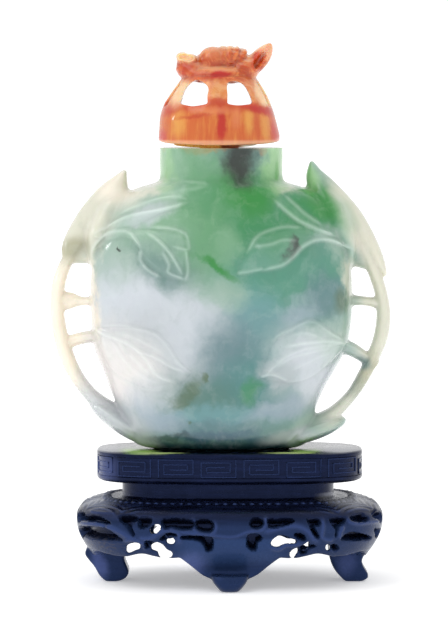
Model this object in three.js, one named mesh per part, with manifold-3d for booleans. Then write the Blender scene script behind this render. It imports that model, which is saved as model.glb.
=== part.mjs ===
// A jadeite snuff bottle with openwork vine handles, a pierced carnelian stopper on its collar,
// and the carved hardwood stand that the bottle sits in.
// Millimetres, +Z up, the front faces -Y. The origin is under the middle of the object's box.
import * as THREE from 'three';
import { mergeVertices } from 'three/addons/utils/BufferGeometryUtils.js';
import Module from 'manifold-3d';

const wasm = await Module();
wasm.setup();

// ---------------------------------------------------------------- driving dimensions

// Heights above the table.
const plateTop = 23.9;
const footBottom = 23.0;
const rimTop = 77.8;

// The bottle: its oval sections from the foot to the rim. The lower right side is cut in more.
const neckRadius = 11;
const mouthRadius = 4.2;
const footOval = { width: 12, depth: 6.6 };
const bodySections = [
	// [height, half width, half depth, sideways shift]
	[25.2, 12.4, 7.2, 0],
	[26.0, 15.0, 8.4, -0.1],
	[28.0, 16.8, 9.8, -0.5],
	[31.2, 17.8, 11.0, -0.8],
	[34.4, 19.1, 11.9, -0.8],
	[37.6, 20.6, 12.4, -0.5],
	[42.0, 22.6, 12.9, -0.2],
	[47.0, 23.3, 13.2, 0],
	[52.0, 23.5, 13.3, 0],
	[57.0, 23.2, 13.15, 0],
	[61.5, 22.4, 12.9, 0],
	[65.2, 21.0, 12.5, 0],
	[68.0, 19.2, 12.1, 0],
	[69.9, 16.8, 11.7, 0],
	[71.0, 14.2, 11.4, 0],
	[71.8, 12.0, 11.1, 0],
	[73.2, 11.05, 11.0, 0],
	[77.4, 11.0, 11.0, 0],
];
const hollowSections = [
	[29.4, 9.5, 4.4],
	[32.0, 13.2, 6.4],
	[38.0, 16.8, 8.2],
	[46.0, 19.0, 9.2],
	[54.0, 19.2, 9.3],
	[61.0, 17.0, 8.9],
	[66.0, 11.0, 7.4],
	[69.0, 6.2, 5.4],
	[71.5, mouthRadius, mouthRadius],
];
const bodySquareness = 2.15;
const reliefHeight = 0.6;

// The stopper stands a little proud of the rim and leans forward on its collar.
const stopperBase = 79.0;
const stopperShift = -0.4;
const stopperLean = THREE.MathUtils.degToRad( 3.8 );
const collar = { radius: 7.4, shift: -0.7, thickness: 0.65, plugRadius: 3.5, plugLength: 5.2 };

// The stand is an oval with straight sides. It sits a little to the right of the bottle's axis.
const standShift = 1.5;
const plate = { bottom: 18.4, halfWidth: 23.8, halfDepth: 11.9 };
const waist = { shift: -0.3, halfWidth: 19, halfDepth: 9.3 };
const apron = { halfWidth: 27.5, halfDepth: 17.8, squareness: 2.9 };
const recessClearance = 0.35;

// ---------------------------------------------------------------- solids and geometry

function solid( geometry ) {

	const bare = geometry.index ? geometry.toNonIndexed() : geometry.clone();
	bare.deleteAttribute( 'normal' );
	bare.deleteAttribute( 'uv' );
	const merged = mergeVertices( bare, 1e-4 );
	const corners = merged.index.array;
	const triVerts = [];
	for ( let i = 0; i < corners.length; i += 3 ) {

		const [ a, b, c ] = corners.slice( i, i + 3 );
		if ( a !== b && b !== c && c !== a ) triVerts.push( a, b, c );

	}

	return new wasm.Manifold( new wasm.Mesh( {
		numProp: 3,
		vertProperties: merged.attributes.position.array,
		triVerts: new Uint32Array( triVerts ),
	} ) );

}

function geometryOf( manifold ) {

	const mesh = manifold.getMesh();
	const geometry = new THREE.BufferGeometry();
	geometry.setAttribute( 'position', new THREE.BufferAttribute( mesh.vertProperties, 3 ) );
	geometry.setIndex( new THREE.BufferAttribute( mesh.triVerts, 1 ) );
	geometry.computeVertexNormals();
	return geometry;

}

function join( ...parts ) {

	return parts.reduce( ( whole, part ) => whole.add( part ) );

}

function cut( whole, ...tools ) {

	return tools.reduce( ( rest, tool ) => rest.subtract( tool ), whole );

}

// ---------------------------------------------------------------- forms

// A lathe turned to an oval: each section keeps its own half width and half depth.
function ovalLathe( sections, squareness, sides ) {

	const cap = ( [ z, , , shift ] ) => [ z, 0, 0, shift ];
	const closed = [ cap( sections[ 0 ] ), ...sections, cap( sections.at( - 1 ) ) ];
	const profile = closed.map( ( [ z, width ] ) => new THREE.Vector2( width, z ) );
	const geometry = new THREE.LatheGeometry( profile, sides );
	const position = geometry.attributes.position;
	const power = 2 / squareness;
	for ( let i = 0; i < position.count; i ++ ) {

		const [ z, width, depth, shift = 0 ] = closed[ i % closed.length ];
		const angle = 2 * Math.PI * ( Math.floor( i / closed.length ) % sides ) / sides;
		const c = Math.cos( angle );
		const s = Math.sin( angle );
		const x = shift + width * Math.sign( c ) * Math.abs( c ) ** power;
		const y = depth * Math.sign( s ) * Math.abs( s ) ** power;
		position.setXYZ( i, x, y, z );

	}

	return outwards( geometry );

}

// Turns every face round where a reshaped geometry has come out inside out.
function outwards( geometry ) {

	const made = solid( geometry );
	if ( made.volume() > 0 ) return made;
	const turned = geometry.clone();
	const index = turned.index.array;
	for ( let i = 0; i < index.length; i += 3 ) {

		const keep = index[ i + 1 ];
		index[ i + 1 ] = index[ i + 2 ];
		index[ i + 2 ] = keep;

	}

	return solid( turned );

}

// A tapering stem: a cylinder bent along a curve through stations of [x, z, half width, half depth].
function stem( stations, y = 0, sides = 8, perSpan = 1 ) {

	const path = ( pick ) => new THREE.CatmullRomCurve3( stations.map( pick ) );
	const line = path( ( [ x, z ] ) => new THREE.Vector3( x, y, z ) );
	const size = path( ( [ , , width, depth ] ) => new THREE.Vector3( width, depth, 0 ) );
	const steps = ( stations.length - 1 ) * perSpan;
	const geometry = new THREE.CylinderGeometry( 1, 1, 1, sides, steps );
	const position = geometry.attributes.position;
	for ( let i = 0; i < position.count; i ++ ) {

		const t = Math.round( ( position.getY( i ) + 0.5 ) * steps ) / steps;
		const centre = line.getPoint( t );
		const radii = size.getPoint( t );
		const along = line.getTangent( t );
		const across = position.getX( i ) * radii.x;
		const inwards = position.getZ( i ) * radii.y;
		position.setXYZ( i, centre.x + across * along.z, centre.y + inwards, centre.z - across * along.x );

	}

	return outwards( geometry );

}

// A flat outline in the XZ plane. Each edge is a smooth run of [x, z] points, and edges meet in corners.
function outline( edges, perSpan = 2 ) {

	const points = [];
	for ( const edge of edges ) {

		const run = new THREE.SplineCurve( edge.map( ( [ x, z ] ) => new THREE.Vector2( x, z ) ) );
		const count = edge.length > 2 ? ( edge.length - 1 ) * perSpan : 1;
		points.push( ...run.getPoints( count ).slice( 0, - 1 ) );

	}

	return new THREE.Shape( points );

}

// A slab cut to an outline, from the front at yFront to the back at yBack.
function slab( shape, yFront, yBack ) {

	const geometry = new THREE.ExtrudeGeometry( shape, {
		depth: yBack - yFront,
		bevelEnabled: false,
		curveSegments: 4,
	} );
	geometry.rotateX( Math.PI / 2 );
	geometry.translate( 0, yBack, 0 );
	return solid( geometry );

}

// An egg: a ball with three radii, turned in the XZ plane and set at its place.
function egg( [ x, y, z ], [ rx, ry, rz ], turnDegrees = 0, around = 12 ) {

	const geometry = new THREE.SphereGeometry( 1, around, Math.round( around * 0.6 ) );
	geometry.scale( rx, ry, rz );
	geometry.rotateY( - THREE.MathUtils.degToRad( turnDegrees ) );
	geometry.translate( x, y, z );
	return solid( geometry );

}

// ---------------------------------------------------------------- the bottle

// The leaves that lie on the body, front and back alike, as outlines from stem to tip.
const faceLeaves = {
	upperLeftLong: [
		[ [ - 22.6, 62.0 ], [ - 17.6, 65.6 ], [ - 11.6, 67.2 ], [ - 5.8, 68.4 ] ],
		[ [ - 5.8, 68.4 ], [ - 10.8, 66.4 ], [ - 15.6, 64.0 ], [ - 19.6, 61.6 ], [ - 22.6, 62.0 ] ],
	],
	upperLeftBroad: [
		[ [ - 23.0, 59.4 ], [ - 19.0, 62.9 ], [ - 13.0, 63.4 ], [ - 6.8, 63.2 ] ],
		[ [ - 6.8, 63.2 ], [ - 5.8, 60.0 ], [ - 6.3, 57.0 ], [ - 6.4, 54.4 ] ],
		[ [ - 6.4, 54.4 ], [ - 10.4, 55.4 ], [ - 13.9, 58.2 ], [ - 14.9, 61.2 ], [ - 18.0, 62.0 ], [ - 23.0, 59.4 ] ],
	],
	upperRightLong: [
		[ [ 20.4, 62.6 ], [ 16.6, 62.2 ], [ 13.6, 64.6 ], [ 9.2, 68.6 ] ],
		[ [ 9.2, 68.6 ], [ 10.9, 69.4 ], [ 14.8, 66.4 ], [ 20.4, 62.6 ] ],
	],
	upperRightBroad: [
		[ [ 22.9, 60.0 ], [ 17.2, 61.6 ], [ 13.2, 58.9 ], [ 9.6, 56.8 ], [ 2.9, 55.8 ] ],
		[ [ 2.9, 55.8 ], [ 4.3, 59.2 ], [ 6.2, 62.2 ], [ 11.2, 63.8 ], [ 17.0, 63.6 ], [ 22.9, 60.0 ] ],
	],
	lowerLeft: [
		[ [ - 22.8, 45.6 ], [ - 16.4, 45.4 ], [ - 10.8, 42.6 ], [ - 6.6, 39.0 ] ],
		[ [ - 6.6, 39.0 ], [ - 7.0, 38.0 ], [ - 7.6, 36.4 ] ],
		[ [ - 7.6, 36.4 ], [ - 12.2, 36.2 ], [ - 16.6, 38.6 ], [ - 22.8, 45.6 ] ],
	],
	lowerRight: [
		[ [ 23.0, 43.2 ], [ 20.0, 45.0 ], [ 16.4, 48.2 ], [ 10.8, 45.6 ], [ 8.6, 41.0 ], [ 7.2, 37.5 ] ],
		[ [ 7.2, 37.5 ], [ 11.2, 36.8 ], [ 16.0, 37.4 ], [ 19.4, 39.8 ], [ 23.0, 43.2 ] ],
	],
};

// Upright leaves over the shoulders, edge on as the tops of the handles.
// Stations along each: [x, z, half width, half depth].
const leftShoulderLeaf = [
	[ - 27.4, 58.0, 1.3, 2.2 ],
	[ - 26.4, 60.4, 2.1, 2.5 ],
	[ - 23.9, 63.9, 2.7, 2.8 ],
	[ - 20.9, 67.9, 2.8, 2.8 ],
	[ - 18.7, 70.7, 2.2, 2.4 ],
	[ - 17.2, 73.8, 0.3, 1.2 ],
];
const rightShoulderLeaf = [
	[ 29.5, 54.9, 0.3, 1.4 ],
	[ 28.4, 57.1, 1.0, 2.0 ],
	[ 26.8, 59.8, 1.6, 2.4 ],
	[ 24.5, 63.1, 2.2, 2.7 ],
	[ 21.9, 66.5, 2.5, 2.8 ],
	[ 18.8, 69.7, 2.6, 2.8 ],
	[ 16.9, 72.4, 1.9, 2.4 ],
	[ 16.1, 75.4, 0.3, 1.2 ],
];

// Vine stems and the struts that tie them to the body.
const leftStem = [
	[ - 25.0, 61.4, 1.3, 2.6 ],
	[ - 27.6, 57.6, 1.1, 2.1 ],
	[ - 29.1, 53.6, 1.2, 2.0 ],
	[ - 29.45, 49.6, 1.25, 2.0 ],
	[ - 29.0, 45.0, 1.3, 2.1 ],
	[ - 27.8, 40.6, 1.35, 2.2 ],
	[ - 26.0, 36.8, 1.25, 2.2 ],
	[ - 23.2, 33.2, 1.3, 2.6 ],
	[ - 19.4, 30.0, 1.9, 3.6 ],
	[ - 15.4, 27.8, 2.0, 4.4 ],
];
const leftStruts = [
	[ [ - 28.4, 58.4, 1.5, 1.6 ], [ - 26.0, 58.9, 1.9, 1.8 ], [ - 23.6, 59.2, 2.1, 2.2 ], [ - 20.8, 59.6, 2.2, 2.8 ] ],
	[ [ - 29.0, 50.2, 1.7, 1.3 ], [ - 27.0, 50.4, 1.5, 1.3 ], [ - 25.0, 50.3, 0.8, 1.3 ], [ - 22.4, 50.3, 0.8, 1.8 ] ],
	[ [ - 28.6, 42.4, 1.2, 1.5 ], [ - 26.0, 43.4, 1.1, 1.5 ], [ - 23.4, 43.9, 1.1, 2.0 ], [ - 20.6, 43.6, 1.1, 2.4 ] ],
];
const rightStem = [
	[ 23.4, 63.4, 1.4, 2.8 ],
	[ 25.9, 59.0, 1.25, 2.3 ],
	[ 27.6, 55.0, 1.15, 2.0 ],
	[ 28.75, 51.2, 1.15, 2.0 ],
	[ 29.1, 47.6, 1.3, 2.0 ],
	[ 28.6, 43.8, 1.3, 2.1 ],
	[ 27.2, 40.2, 1.2, 2.2 ],
	[ 25.4, 36.6, 1.15, 2.2 ],
	[ 23.2, 33.2, 1.05, 2.2 ],
	[ 19.8, 29.9, 1.3, 3.0 ],
	[ 15.6, 27.6, 1.8, 4.2 ],
];
const rightStruts = [
	[ [ 28.4, 57.3, 1.4, 1.6 ], [ 26.2, 58.0, 2.1, 1.8 ], [ 23.8, 59.6, 3.4, 2.4 ], [ 20.8, 60.4, 3.6, 3.0 ] ],
	[ [ 29.0, 49.6, 1.0, 1.4 ], [ 26.6, 50.2, 0.85, 1.4 ], [ 24.6, 50.4, 0.9, 1.6 ], [ 22.2, 50.6, 1.1, 2.0 ] ],
	[ [ 27.8, 38.6, 1.1, 1.6 ], [ 25.4, 40.4, 1.1, 1.7 ], [ 23.0, 41.8, 1.3, 2.1 ], [ 20.4, 42.4, 1.4, 2.6 ] ],
];
const baseLeaves = [
	{ place: [ 16.2, 0, 27.2 ], radii: [ 6.4, 6.8, 2.2 ], turn: 19 },
	{ place: [ - 18.6, 0, 28.4 ], radii: [ 6.4, 5.6, 2.5 ], turn: - 31 },
];

function bodySolid( grow ) {

	const sections = bodySections
		.map( ( [ z, width, depth, shift ] ) => [ z, width + grow, depth + grow, shift ] );
	const rim = neckRadius - 0.35 + grow;
	return ovalLathe( [ ...sections, [ rimTop, rim, rim, 0 ] ], bodySquareness, 32 );

}

function faceLeaf( edges, shell ) {

	const throughBody = 20;
	return slab( outline( edges, 1 ), - throughBody, throughBody ).intersect( shell );

}

function bottleSolid() {

	const foot = ovalLathe( [
		[ footBottom, footOval.width - 0.4, footOval.depth - 0.4 ],
		[ footBottom + 0.4, footOval.width, footOval.depth ],
		[ bodySections[ 0 ][ 0 ] + 0.3, footOval.width, footOval.depth ],
	], bodySquareness, 28 );
	const shell = bodySolid( reliefHeight );
	const leaves = Object.values( faceLeaves ).map( ( edges ) => faceLeaf( edges, shell ) );
	const runs = [ leftShoulderLeaf, leftStem, ...leftStruts, rightShoulderLeaf, rightStem, ...rightStruts ];
	const vines = runs.map( ( run ) => stem( run ) );
	const bases = baseLeaves.map( ( { place, radii, turn } ) => egg( place, radii, turn ) );
	const hollow = ovalLathe( [
		...hollowSections,
		[ rimTop + 1, mouthRadius, mouthRadius ],
	], 2, 18 );
	return cut( join( bodySolid( 0 ), foot, ...leaves, ...vines, ...bases ), hollow );

}

// ---------------------------------------------------------------- the stopper and its collar

// The dome from its lower edge upwards, a little fuller on the left: [height, radius, sideways shift].
const domeProfile = [
	[ 0.0, 10.3, 0 ],
	[ 0.35, 10.85, 0 ],
	[ 2.4, 10.55, - 0.1 ],
	[ 4.3, 10.35, - 0.3 ],
	[ 6.1, 9.85, - 0.4 ],
	[ 7.5, 9.1, - 0.2 ],
	[ 8.7, 8.4, - 0.1 ],
	[ 10.8, 6.95, 0 ],
	[ 11.6, 6.3, 0 ],
];
const windowBottom = 6.5;
const windowTop = 10.6;

// The windows of the dome's gallery, seen from the front: the gaps left and right of the middle post.
const galleryWindows = [
	[
		[ [ - 6.9, windowBottom ], [ - 4.4, windowBottom + 0.15 ], [ - 2.0, windowBottom + 0.1 ] ],
		[ [ - 2.0, windowBottom + 0.1 ], [ - 2.0, 9.2 ] ],
		[ [ - 2.0, 9.2 ], [ - 2.7, 10.2 ], [ - 3.9, windowTop ], [ - 5.2, 9.8 ], [ - 6.1, 8.6 ], [ - 6.9, windowBottom ] ],
	],
	[
		[ [ 1.7, windowBottom + 0.1 ], [ 3.8, windowBottom - 0.05 ], [ 5.6, windowBottom ] ],
		[ [ 5.6, windowBottom ], [ 5.3, 8.0 ], [ 4.4, 9.6 ], [ 3.3, 10.4 ], [ 2.4, windowTop ] ],
		[ [ 2.4, windowTop ], [ 1.7, 9.8 ], [ 1.7, windowBottom + 0.1 ] ],
	],
];

// A carved fruit lying between two curled leaves.
function fruitAndLeaves() {

	const fruit = egg( [ - 0.2, - 0.6, 14.7 ], [ 3.7, 3.3, 2.5 ], 4, 12 );
	const calyx = egg( [ 3.6, - 0.2, 14.6 ], [ 2.0, 2.6, 2.4 ], 25, 8 );
	const bed = egg( [ 0.0, 0, 11.9 ], [ 7.4, 5.6, 1.9 ], 0, 12 );
	const leftLeaf = egg( [ - 5.4, 0, 13.3 ], [ 2.5, 2.8, 2.35 ], 0, 8 );
	const rightLeaf = stem( [
		[ 3.8, 11.6, 1.0, 2.2 ],
		[ 6.2, 13.0, 1.9, 2.4 ],
		[ 8.2, 14.8, 1.9, 2.0 ],
		[ 9.4, 16.3, 1.1, 1.4 ],
		[ 9.9, 17.3, 0.3, 0.7 ],
	] );
	return join( bed, fruit, calyx, leftLeaf, rightLeaf );

}

function stopperSolid() {

	const sections = domeProfile.map( ( [ z, radius, shift ] ) => [ z, radius, radius, shift ] );
	const dome = ovalLathe( sections, 2, 28 );
	const reach = 14;
	const level = - THREE.MathUtils.radToDeg( stopperLean );
	const windows = galleryWindows.map( ( edges ) => slab( outline( edges, 1 ), - reach, reach ) );
	const sideWindows = windows.map( ( window ) => window.rotate( [ 0, 0, 90 ] ) );
	const frontWindows = windows.map( ( window ) => window.rotate( [ level, 0, 0 ] ) );
	return join( cut( dome, ...frontWindows, ...sideWindows ), fruitAndLeaves() );

}

// The cork: a thin collar under the stopper, and the plug that reaches down into the mouth.
function collarSolid() {

	const gap = 0.02;
	const bottom = - collar.thickness - collar.plugLength;
	return ovalLathe( [
		[ bottom, collar.plugRadius - 0.3, collar.plugRadius - 0.3 ],
		[ bottom + 0.6, collar.plugRadius, collar.plugRadius ],
		[ - collar.thickness, collar.plugRadius, collar.plugRadius ],
		[ - collar.thickness, collar.radius, collar.radius, collar.shift ],
		[ - gap, collar.radius, collar.radius, collar.shift ],
	], 2, 20 );

}

// ---------------------------------------------------------------- the stand

// How far the apron's outside lies in from its widest oval, up to the shoulder.
const apronInset = [
	[ 0.0, 3.0 ],
	[ 1.8, 3.3 ],
	[ 3.6, 3.5 ],
	[ 5.2, 2.8 ],
	[ 7.2, 1.4 ],
	[ 9.4, 0.35 ],
	[ 11.4, 0.0 ],
	[ 13.0, 0.3 ],
	[ 14.2, 1.3 ],
	[ 15.0, 3.4 ],
	[ 15.5, 7.0 ],
];
const hollowInset = [
	[ - 1.0, 6.2 ],
	[ 3.6, 6.4 ],
	[ 7.2, 4.4 ],
	[ 11.0, 3.4 ],
	[ 12.4, 5.0 ],
];

// The gap under the apron's cusped edge, from a side foot to the front tongue, seen from the front.
const frontGap = [
	[ [ - 30, - 1.0 ], [ - 30, 4.6 ] ],
	[ [ - 30, 4.6 ], [ - 22.0, 5.2 ], [ - 18.4, 5.8 ] ],
	[ [ - 18.4, 5.8 ], [ - 15.6, 6.6 ], [ - 13.4, 6.2 ] ],
	[ [ - 13.4, 6.2 ], [ - 11.2, 5.8 ], [ - 8.8, 6.0 ] ],
	[ [ - 8.8, 6.0 ], [ - 7.2, 4.7 ], [ - 5.0, 2.9 ], [ - 3.4, 2.1 ] ],
	[ [ - 3.4, 2.1 ], [ - 2.9, 1.2 ] ],
	[ [ - 2.9, 1.2 ], [ - 2.9, - 1.0 ] ],
	[ [ - 2.9, - 1.0 ], [ - 30, - 1.0 ] ],
];
const sideGap = [
	[ [ - 22, - 1.0 ], [ - 22, 5.9 ] ],
	[ [ - 22, 5.9 ], [ - 12, 5.9 ] ],
	[ [ - 12, 5.9 ], [ - 9, 6.4 ], [ - 6.2, 5.7 ] ],
	[ [ - 6.2, 5.7 ], [ - 4.4, 4.9 ] ],
	[ [ - 4.4, 4.9 ], [ - 4.4, - 1.0 ] ],
	[ [ - 4.4, - 1.0 ], [ - 22, - 1.0 ] ],
];

// The feet at the two ends curl to the right, seen from the front.
const leftFoot = [
	[ [ - 24.6, 7.4 ], [ - 25.6, 6.1 ], [ - 26.0, 5.0 ], [ - 25.3, 3.9 ], [ - 24.3, 2.7 ], [ - 23.4, 1.1 ], [ - 22.3, 0 ] ],
	[ [ - 22.3, 0 ], [ - 20.0, 0 ] ],
	[ [ - 20.0, 0 ], [ - 18.7, 0.6 ], [ - 18.1, 1.8 ], [ - 18.9, 4.1 ], [ - 18.6, 6.4 ] ],
	[ [ - 18.6, 6.4 ], [ - 24.6, 7.4 ] ],
];
const rightFoot = [
	[ [ 17.6, 6.4 ], [ 18.0, 4.0 ], [ 18.9, 2.0 ], [ 20.7, 0 ] ],
	[ [ 20.7, 0 ], [ 23.8, 0 ] ],
	[ [ 23.8, 0 ], [ 25.0, 0.9 ], [ 24.0, 2.8 ], [ 23.8, 4.1 ], [ 25.0, 6.0 ], [ 25.0, 7.4 ] ],
	[ [ 25.0, 7.4 ], [ 17.6, 6.4 ] ],
];
const footThickness = 5.8;
const frontToe = { halfWidth: 3.1, front: 17.7, back: 12.4, height: 2.3 };

// Piercings through the scrollwork of the apron: [x, z, half length, half height, turn in degrees].
const piercings = [
	[ - 12.9, 11.3, 0.65, 0.6, 0 ],
	[ - 16.9, 7.9, 1.1, 0.7, 15 ],
	[ - 12.0, 8.0, 1.8, 0.85, - 35 ],
	[ - 10.0, 9.6, 0.75, 0.55, 10 ],
	[ 9.0, 9.3, 2.1, 0.75, 5 ],
	[ 12.4, 8.0, 1.9, 0.6, 33 ],
	[ 17.0, 8.4, 0.6, 0.5, 0 ],
];

function insetOval( steps ) {

	return steps.map( ( [ z, inset ] ) => [ z, apron.halfWidth - inset, apron.halfDepth - inset ] );

}

function mirrored( part ) {

	return part.mirror( [ 1, 0, 0 ] );

}

function feetGaps() {

	const reach = 30;
	const front = slab( outline( frontGap, 1 ), - reach, reach );
	const side = slab( outline( sideGap, 1 ), - reach, - 14 ).rotate( [ 0, 0, 90 ] );
	const sidePair = join( side, side.mirror( [ 0, 1, 0 ] ) );
	return [ front, mirrored( front ), sidePair, mirrored( sidePair ) ];

}

// The toe of the front foot: a low pad that reaches forward past the tongue above it.
function toePad() {

	const { halfWidth, front, back, height } = frontToe;
	const pad = ovalLathe( [
		[ 0, halfWidth - 0.4, 0.5 * ( front - back ) - 0.4 ],
		[ 0.5, halfWidth, 0.5 * ( front - back ) ],
		[ height, halfWidth - 0.5, 0.5 * ( front - back ) - 1.1 ],
	], 3, 16 );
	return pad.translate( [ 0, - 0.5 * ( front + back ), 0 ] );

}

function feet() {

	const half = footThickness / 2;
	const ends = [ leftFoot, rightFoot ].map( ( edges ) => slab( outline( edges, 1 ), - half, half ) );
	const toe = toePad();
	return [ ...ends, toe, toe.mirror( [ 0, 1, 0 ] ) ];

}

// Each piercing goes through the front and the back, level and again along a slight downward slant.
function piercing( [ x, z, halfLength, halfHeight, turn ] ) {

	const hole = new THREE.Shape();
	hole.absellipse( 0, 0, halfLength, halfHeight, 0, 2 * Math.PI );
	const reach = 30;
	const level = slab( hole, - reach, reach ).rotate( [ 0, - turn, 0 ] );
	const slant = level.translate( [ 0, apron.halfDepth, 0 ] ).rotate( [ - 7.3, 0, 0 ] )
		.translate( [ 0, - apron.halfDepth, 0 ] );
	return join( level, slant ).translate( [ x, 0, z ] );

}

function ovalDisc( z0, z1, halfWidth, halfDepth, ease, squareness ) {

	return ovalLathe( [
		[ z0, halfWidth - ease, halfDepth - ease ],
		[ z0 + ease, halfWidth, halfDepth ],
		[ z1 - 0.3, halfWidth, halfDepth ],
		[ z1, halfWidth - 0.3, halfDepth - 0.3 ],
	], squareness, 32 );

}

function standSolid() {

	const skirt = ovalLathe( insetOval( apronInset ), apron.squareness, 40 );
	const hollow = ovalLathe( insetOval( hollowInset ), apron.squareness, 24 );
	const body = cut( skirt, hollow, ...feetGaps(), ...piercings.map( piercing ) );
	const neck = ovalDisc( 14.6, plate.bottom + 0.4, waist.halfWidth, waist.halfDepth, 0.05, 3 )
		.translate( [ waist.shift, 0, 0 ] );
	const top = ovalDisc( plate.bottom, plateTop, plate.halfWidth, plate.halfDepth, 0.8, 3 );
	const recess = ovalLathe( [
		[ footBottom, footOval.width + recessClearance, footOval.depth + recessClearance ],
		[ plateTop + 1, footOval.width + recessClearance, footOval.depth + recessClearance ],
	], bodySquareness, 28 ).translate( [ - standShift, 0, 0 ] );
	return cut( join( body, ...feet(), neck, top ), recess );

}

// ---------------------------------------------------------------- the scene graph

const jadeite = new THREE.MeshStandardMaterial( { color: 0x9fc4b4, roughness: 0.18, metalness: 0 } );
const carnelian = new THREE.MeshStandardMaterial( { color: 0xd9662c, roughness: 0.15, metalness: 0 } );
const cork = new THREE.MeshStandardMaterial( { color: 0xc08a48, roughness: 0.7, metalness: 0 } );
const hardwood = new THREE.MeshStandardMaterial( { color: 0x1a1d38, roughness: 0.25, metalness: 0 } );

function piece( name, made, material ) {

	const mesh = new THREE.Mesh( geometryOf( made ), material );
	mesh.name = name;
	return mesh;

}

const stopperGroup = new THREE.Group();
stopperGroup.add( piece( 'stopper', stopperSolid(), carnelian ) );
stopperGroup.add( piece( 'cork_collar', collarSolid(), cork ) );
stopperGroup.position.set( stopperShift, 0, stopperBase );
stopperGroup.rotation.x = stopperLean;

const stand = piece( 'stand', standSolid(), hardwood );
stand.position.x = standShift;

const snuffBottle = new THREE.Group();
snuffBottle.add( piece( 'bottle', bottleSolid(), jadeite ), stopperGroup, stand );

// Stand the middle of the whole box over the origin.
const box = new THREE.Box3().setFromObject( snuffBottle );
snuffBottle.position.set( - ( box.min.x + box.max.x ) / 2, - ( box.min.y + box.max.y ) / 2, - box.min.z );

export default snuffBottle;
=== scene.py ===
import math

import bmesh
import bpy
import numpy as np
from mathutils import Matrix, Vector


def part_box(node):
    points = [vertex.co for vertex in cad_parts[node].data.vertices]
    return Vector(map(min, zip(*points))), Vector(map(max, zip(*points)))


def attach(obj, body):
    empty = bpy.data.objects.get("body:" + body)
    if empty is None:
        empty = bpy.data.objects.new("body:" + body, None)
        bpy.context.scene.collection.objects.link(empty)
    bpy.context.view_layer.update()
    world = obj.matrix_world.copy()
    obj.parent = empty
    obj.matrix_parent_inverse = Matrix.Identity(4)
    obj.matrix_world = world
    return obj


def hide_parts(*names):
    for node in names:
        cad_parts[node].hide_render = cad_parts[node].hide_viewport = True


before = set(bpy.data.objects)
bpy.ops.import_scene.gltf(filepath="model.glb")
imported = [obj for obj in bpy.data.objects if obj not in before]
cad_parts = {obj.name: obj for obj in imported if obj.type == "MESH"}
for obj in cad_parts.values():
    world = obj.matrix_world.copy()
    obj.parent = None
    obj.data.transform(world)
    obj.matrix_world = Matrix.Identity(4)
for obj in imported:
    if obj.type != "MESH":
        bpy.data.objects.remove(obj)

mm = 0.001
sharpAngle = math.radians(50)  # edges turned further than this stay crisp
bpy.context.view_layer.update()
bottleLow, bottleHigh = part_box("bottle")
standLow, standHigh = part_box("stand")
stopperLow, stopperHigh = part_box("stopper")

# The left vine reaches further than the right one, so the bottle's axis is right of its box's middle.
bottleX = 0.5 * (bottleLow[0] + bottleHigh[0]) / mm + 0.15
standX = 0.5 * (standLow[0] + standHigh[0]) / mm


# Shapes are made in millimetres, and turned to metres when the object is made.

def smoothRun(stations, perSpan):  # a smooth curve through the stations
    rows = np.array(stations, float)
    padded = np.vstack([2 * rows[0] - rows[1], rows, 2 * rows[-1] - rows[-2]])
    out = []
    for i in range(len(rows) - 1):
        a, b, c, d = padded[i:i + 4]
        for t in np.arange(perSpan) / perSpan:
            out.append(0.5 * (2 * b + (c - a) * t + (2 * a - 5 * b + 4 * c - d) * t * t
                              + (3 * b - a - 3 * c + d) * t ** 3))
    out.append(rows[-1])
    return np.array(out)


def closedRun(edges, perSpan=6):  # smooth edges that meet in corners, as one closed outline
    return np.concatenate([smoothRun(edge, perSpan)[:-1] if len(edge) > 2 else np.array(edge[:1], float)
                           for edge in edges])


def roundRun(points, perSpan=4):  # a closed outline with no corners
    rows = np.array(points, float)
    wrapped = np.vstack([rows[-2:], rows, rows[:2]])
    return smoothRun(wrapped, perSpan)[2 * perSpan:(2 + len(rows)) * perSpan]


def ovalRing(z, width, depth, shift, squareness, sides):
    angle = np.linspace(0, 2 * math.pi, sides, endpoint=False)
    c, s = np.cos(angle), np.sin(angle)
    power = 2 / squareness
    x = shift + width * np.sign(c) * np.abs(c) ** power
    y = depth * np.sign(s) * np.abs(s) ** power
    return np.stack([x, y, np.full(sides, z)], 1)


def addRings(bm, rings):  # one ring of edges, extruded from outline to outline and closed at both ends
    verts = bmesh.ops.create_circle(bm, segments=len(rings[0]), radius=1)["verts"]
    for vert, point in zip(verts, rings[0]):
        vert.co = point
    made = list(verts)
    bm.faces.new(verts)
    edges = [bm.edges.get((verts[i - 1], verts[i])) for i in range(len(verts))]
    for ring in rings[1:]:
        geom = bmesh.ops.extrude_edge_only(bm, edges=edges)["geom"]
        fresh = {item for item in geom if isinstance(item, bmesh.types.BMVert)}
        verts = [next(e.other_vert(v) for e in v.link_edges if e.other_vert(v) in fresh) for v in verts]
        edges = [bm.edges.get((verts[i - 1], verts[i])) for i in range(len(verts))]
        for vert, point in zip(verts, ring):
            vert.co = point
        made += verts
    bm.faces.new(verts)
    return made


# Sections of z, half width, half depth and shift, one above the other.
def addOvals(bm, sections, squareness, sides, perSpan=1, at=(0, 0, 0)):
    rows = [list(row) + [0] * (4 - len(row)) for row in sections]
    rows = smoothRun(rows, perSpan) if perSpan > 1 else rows
    return addRings(bm, [ovalRing(*row, squareness, sides) + np.array(at) for row in rows])


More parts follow.
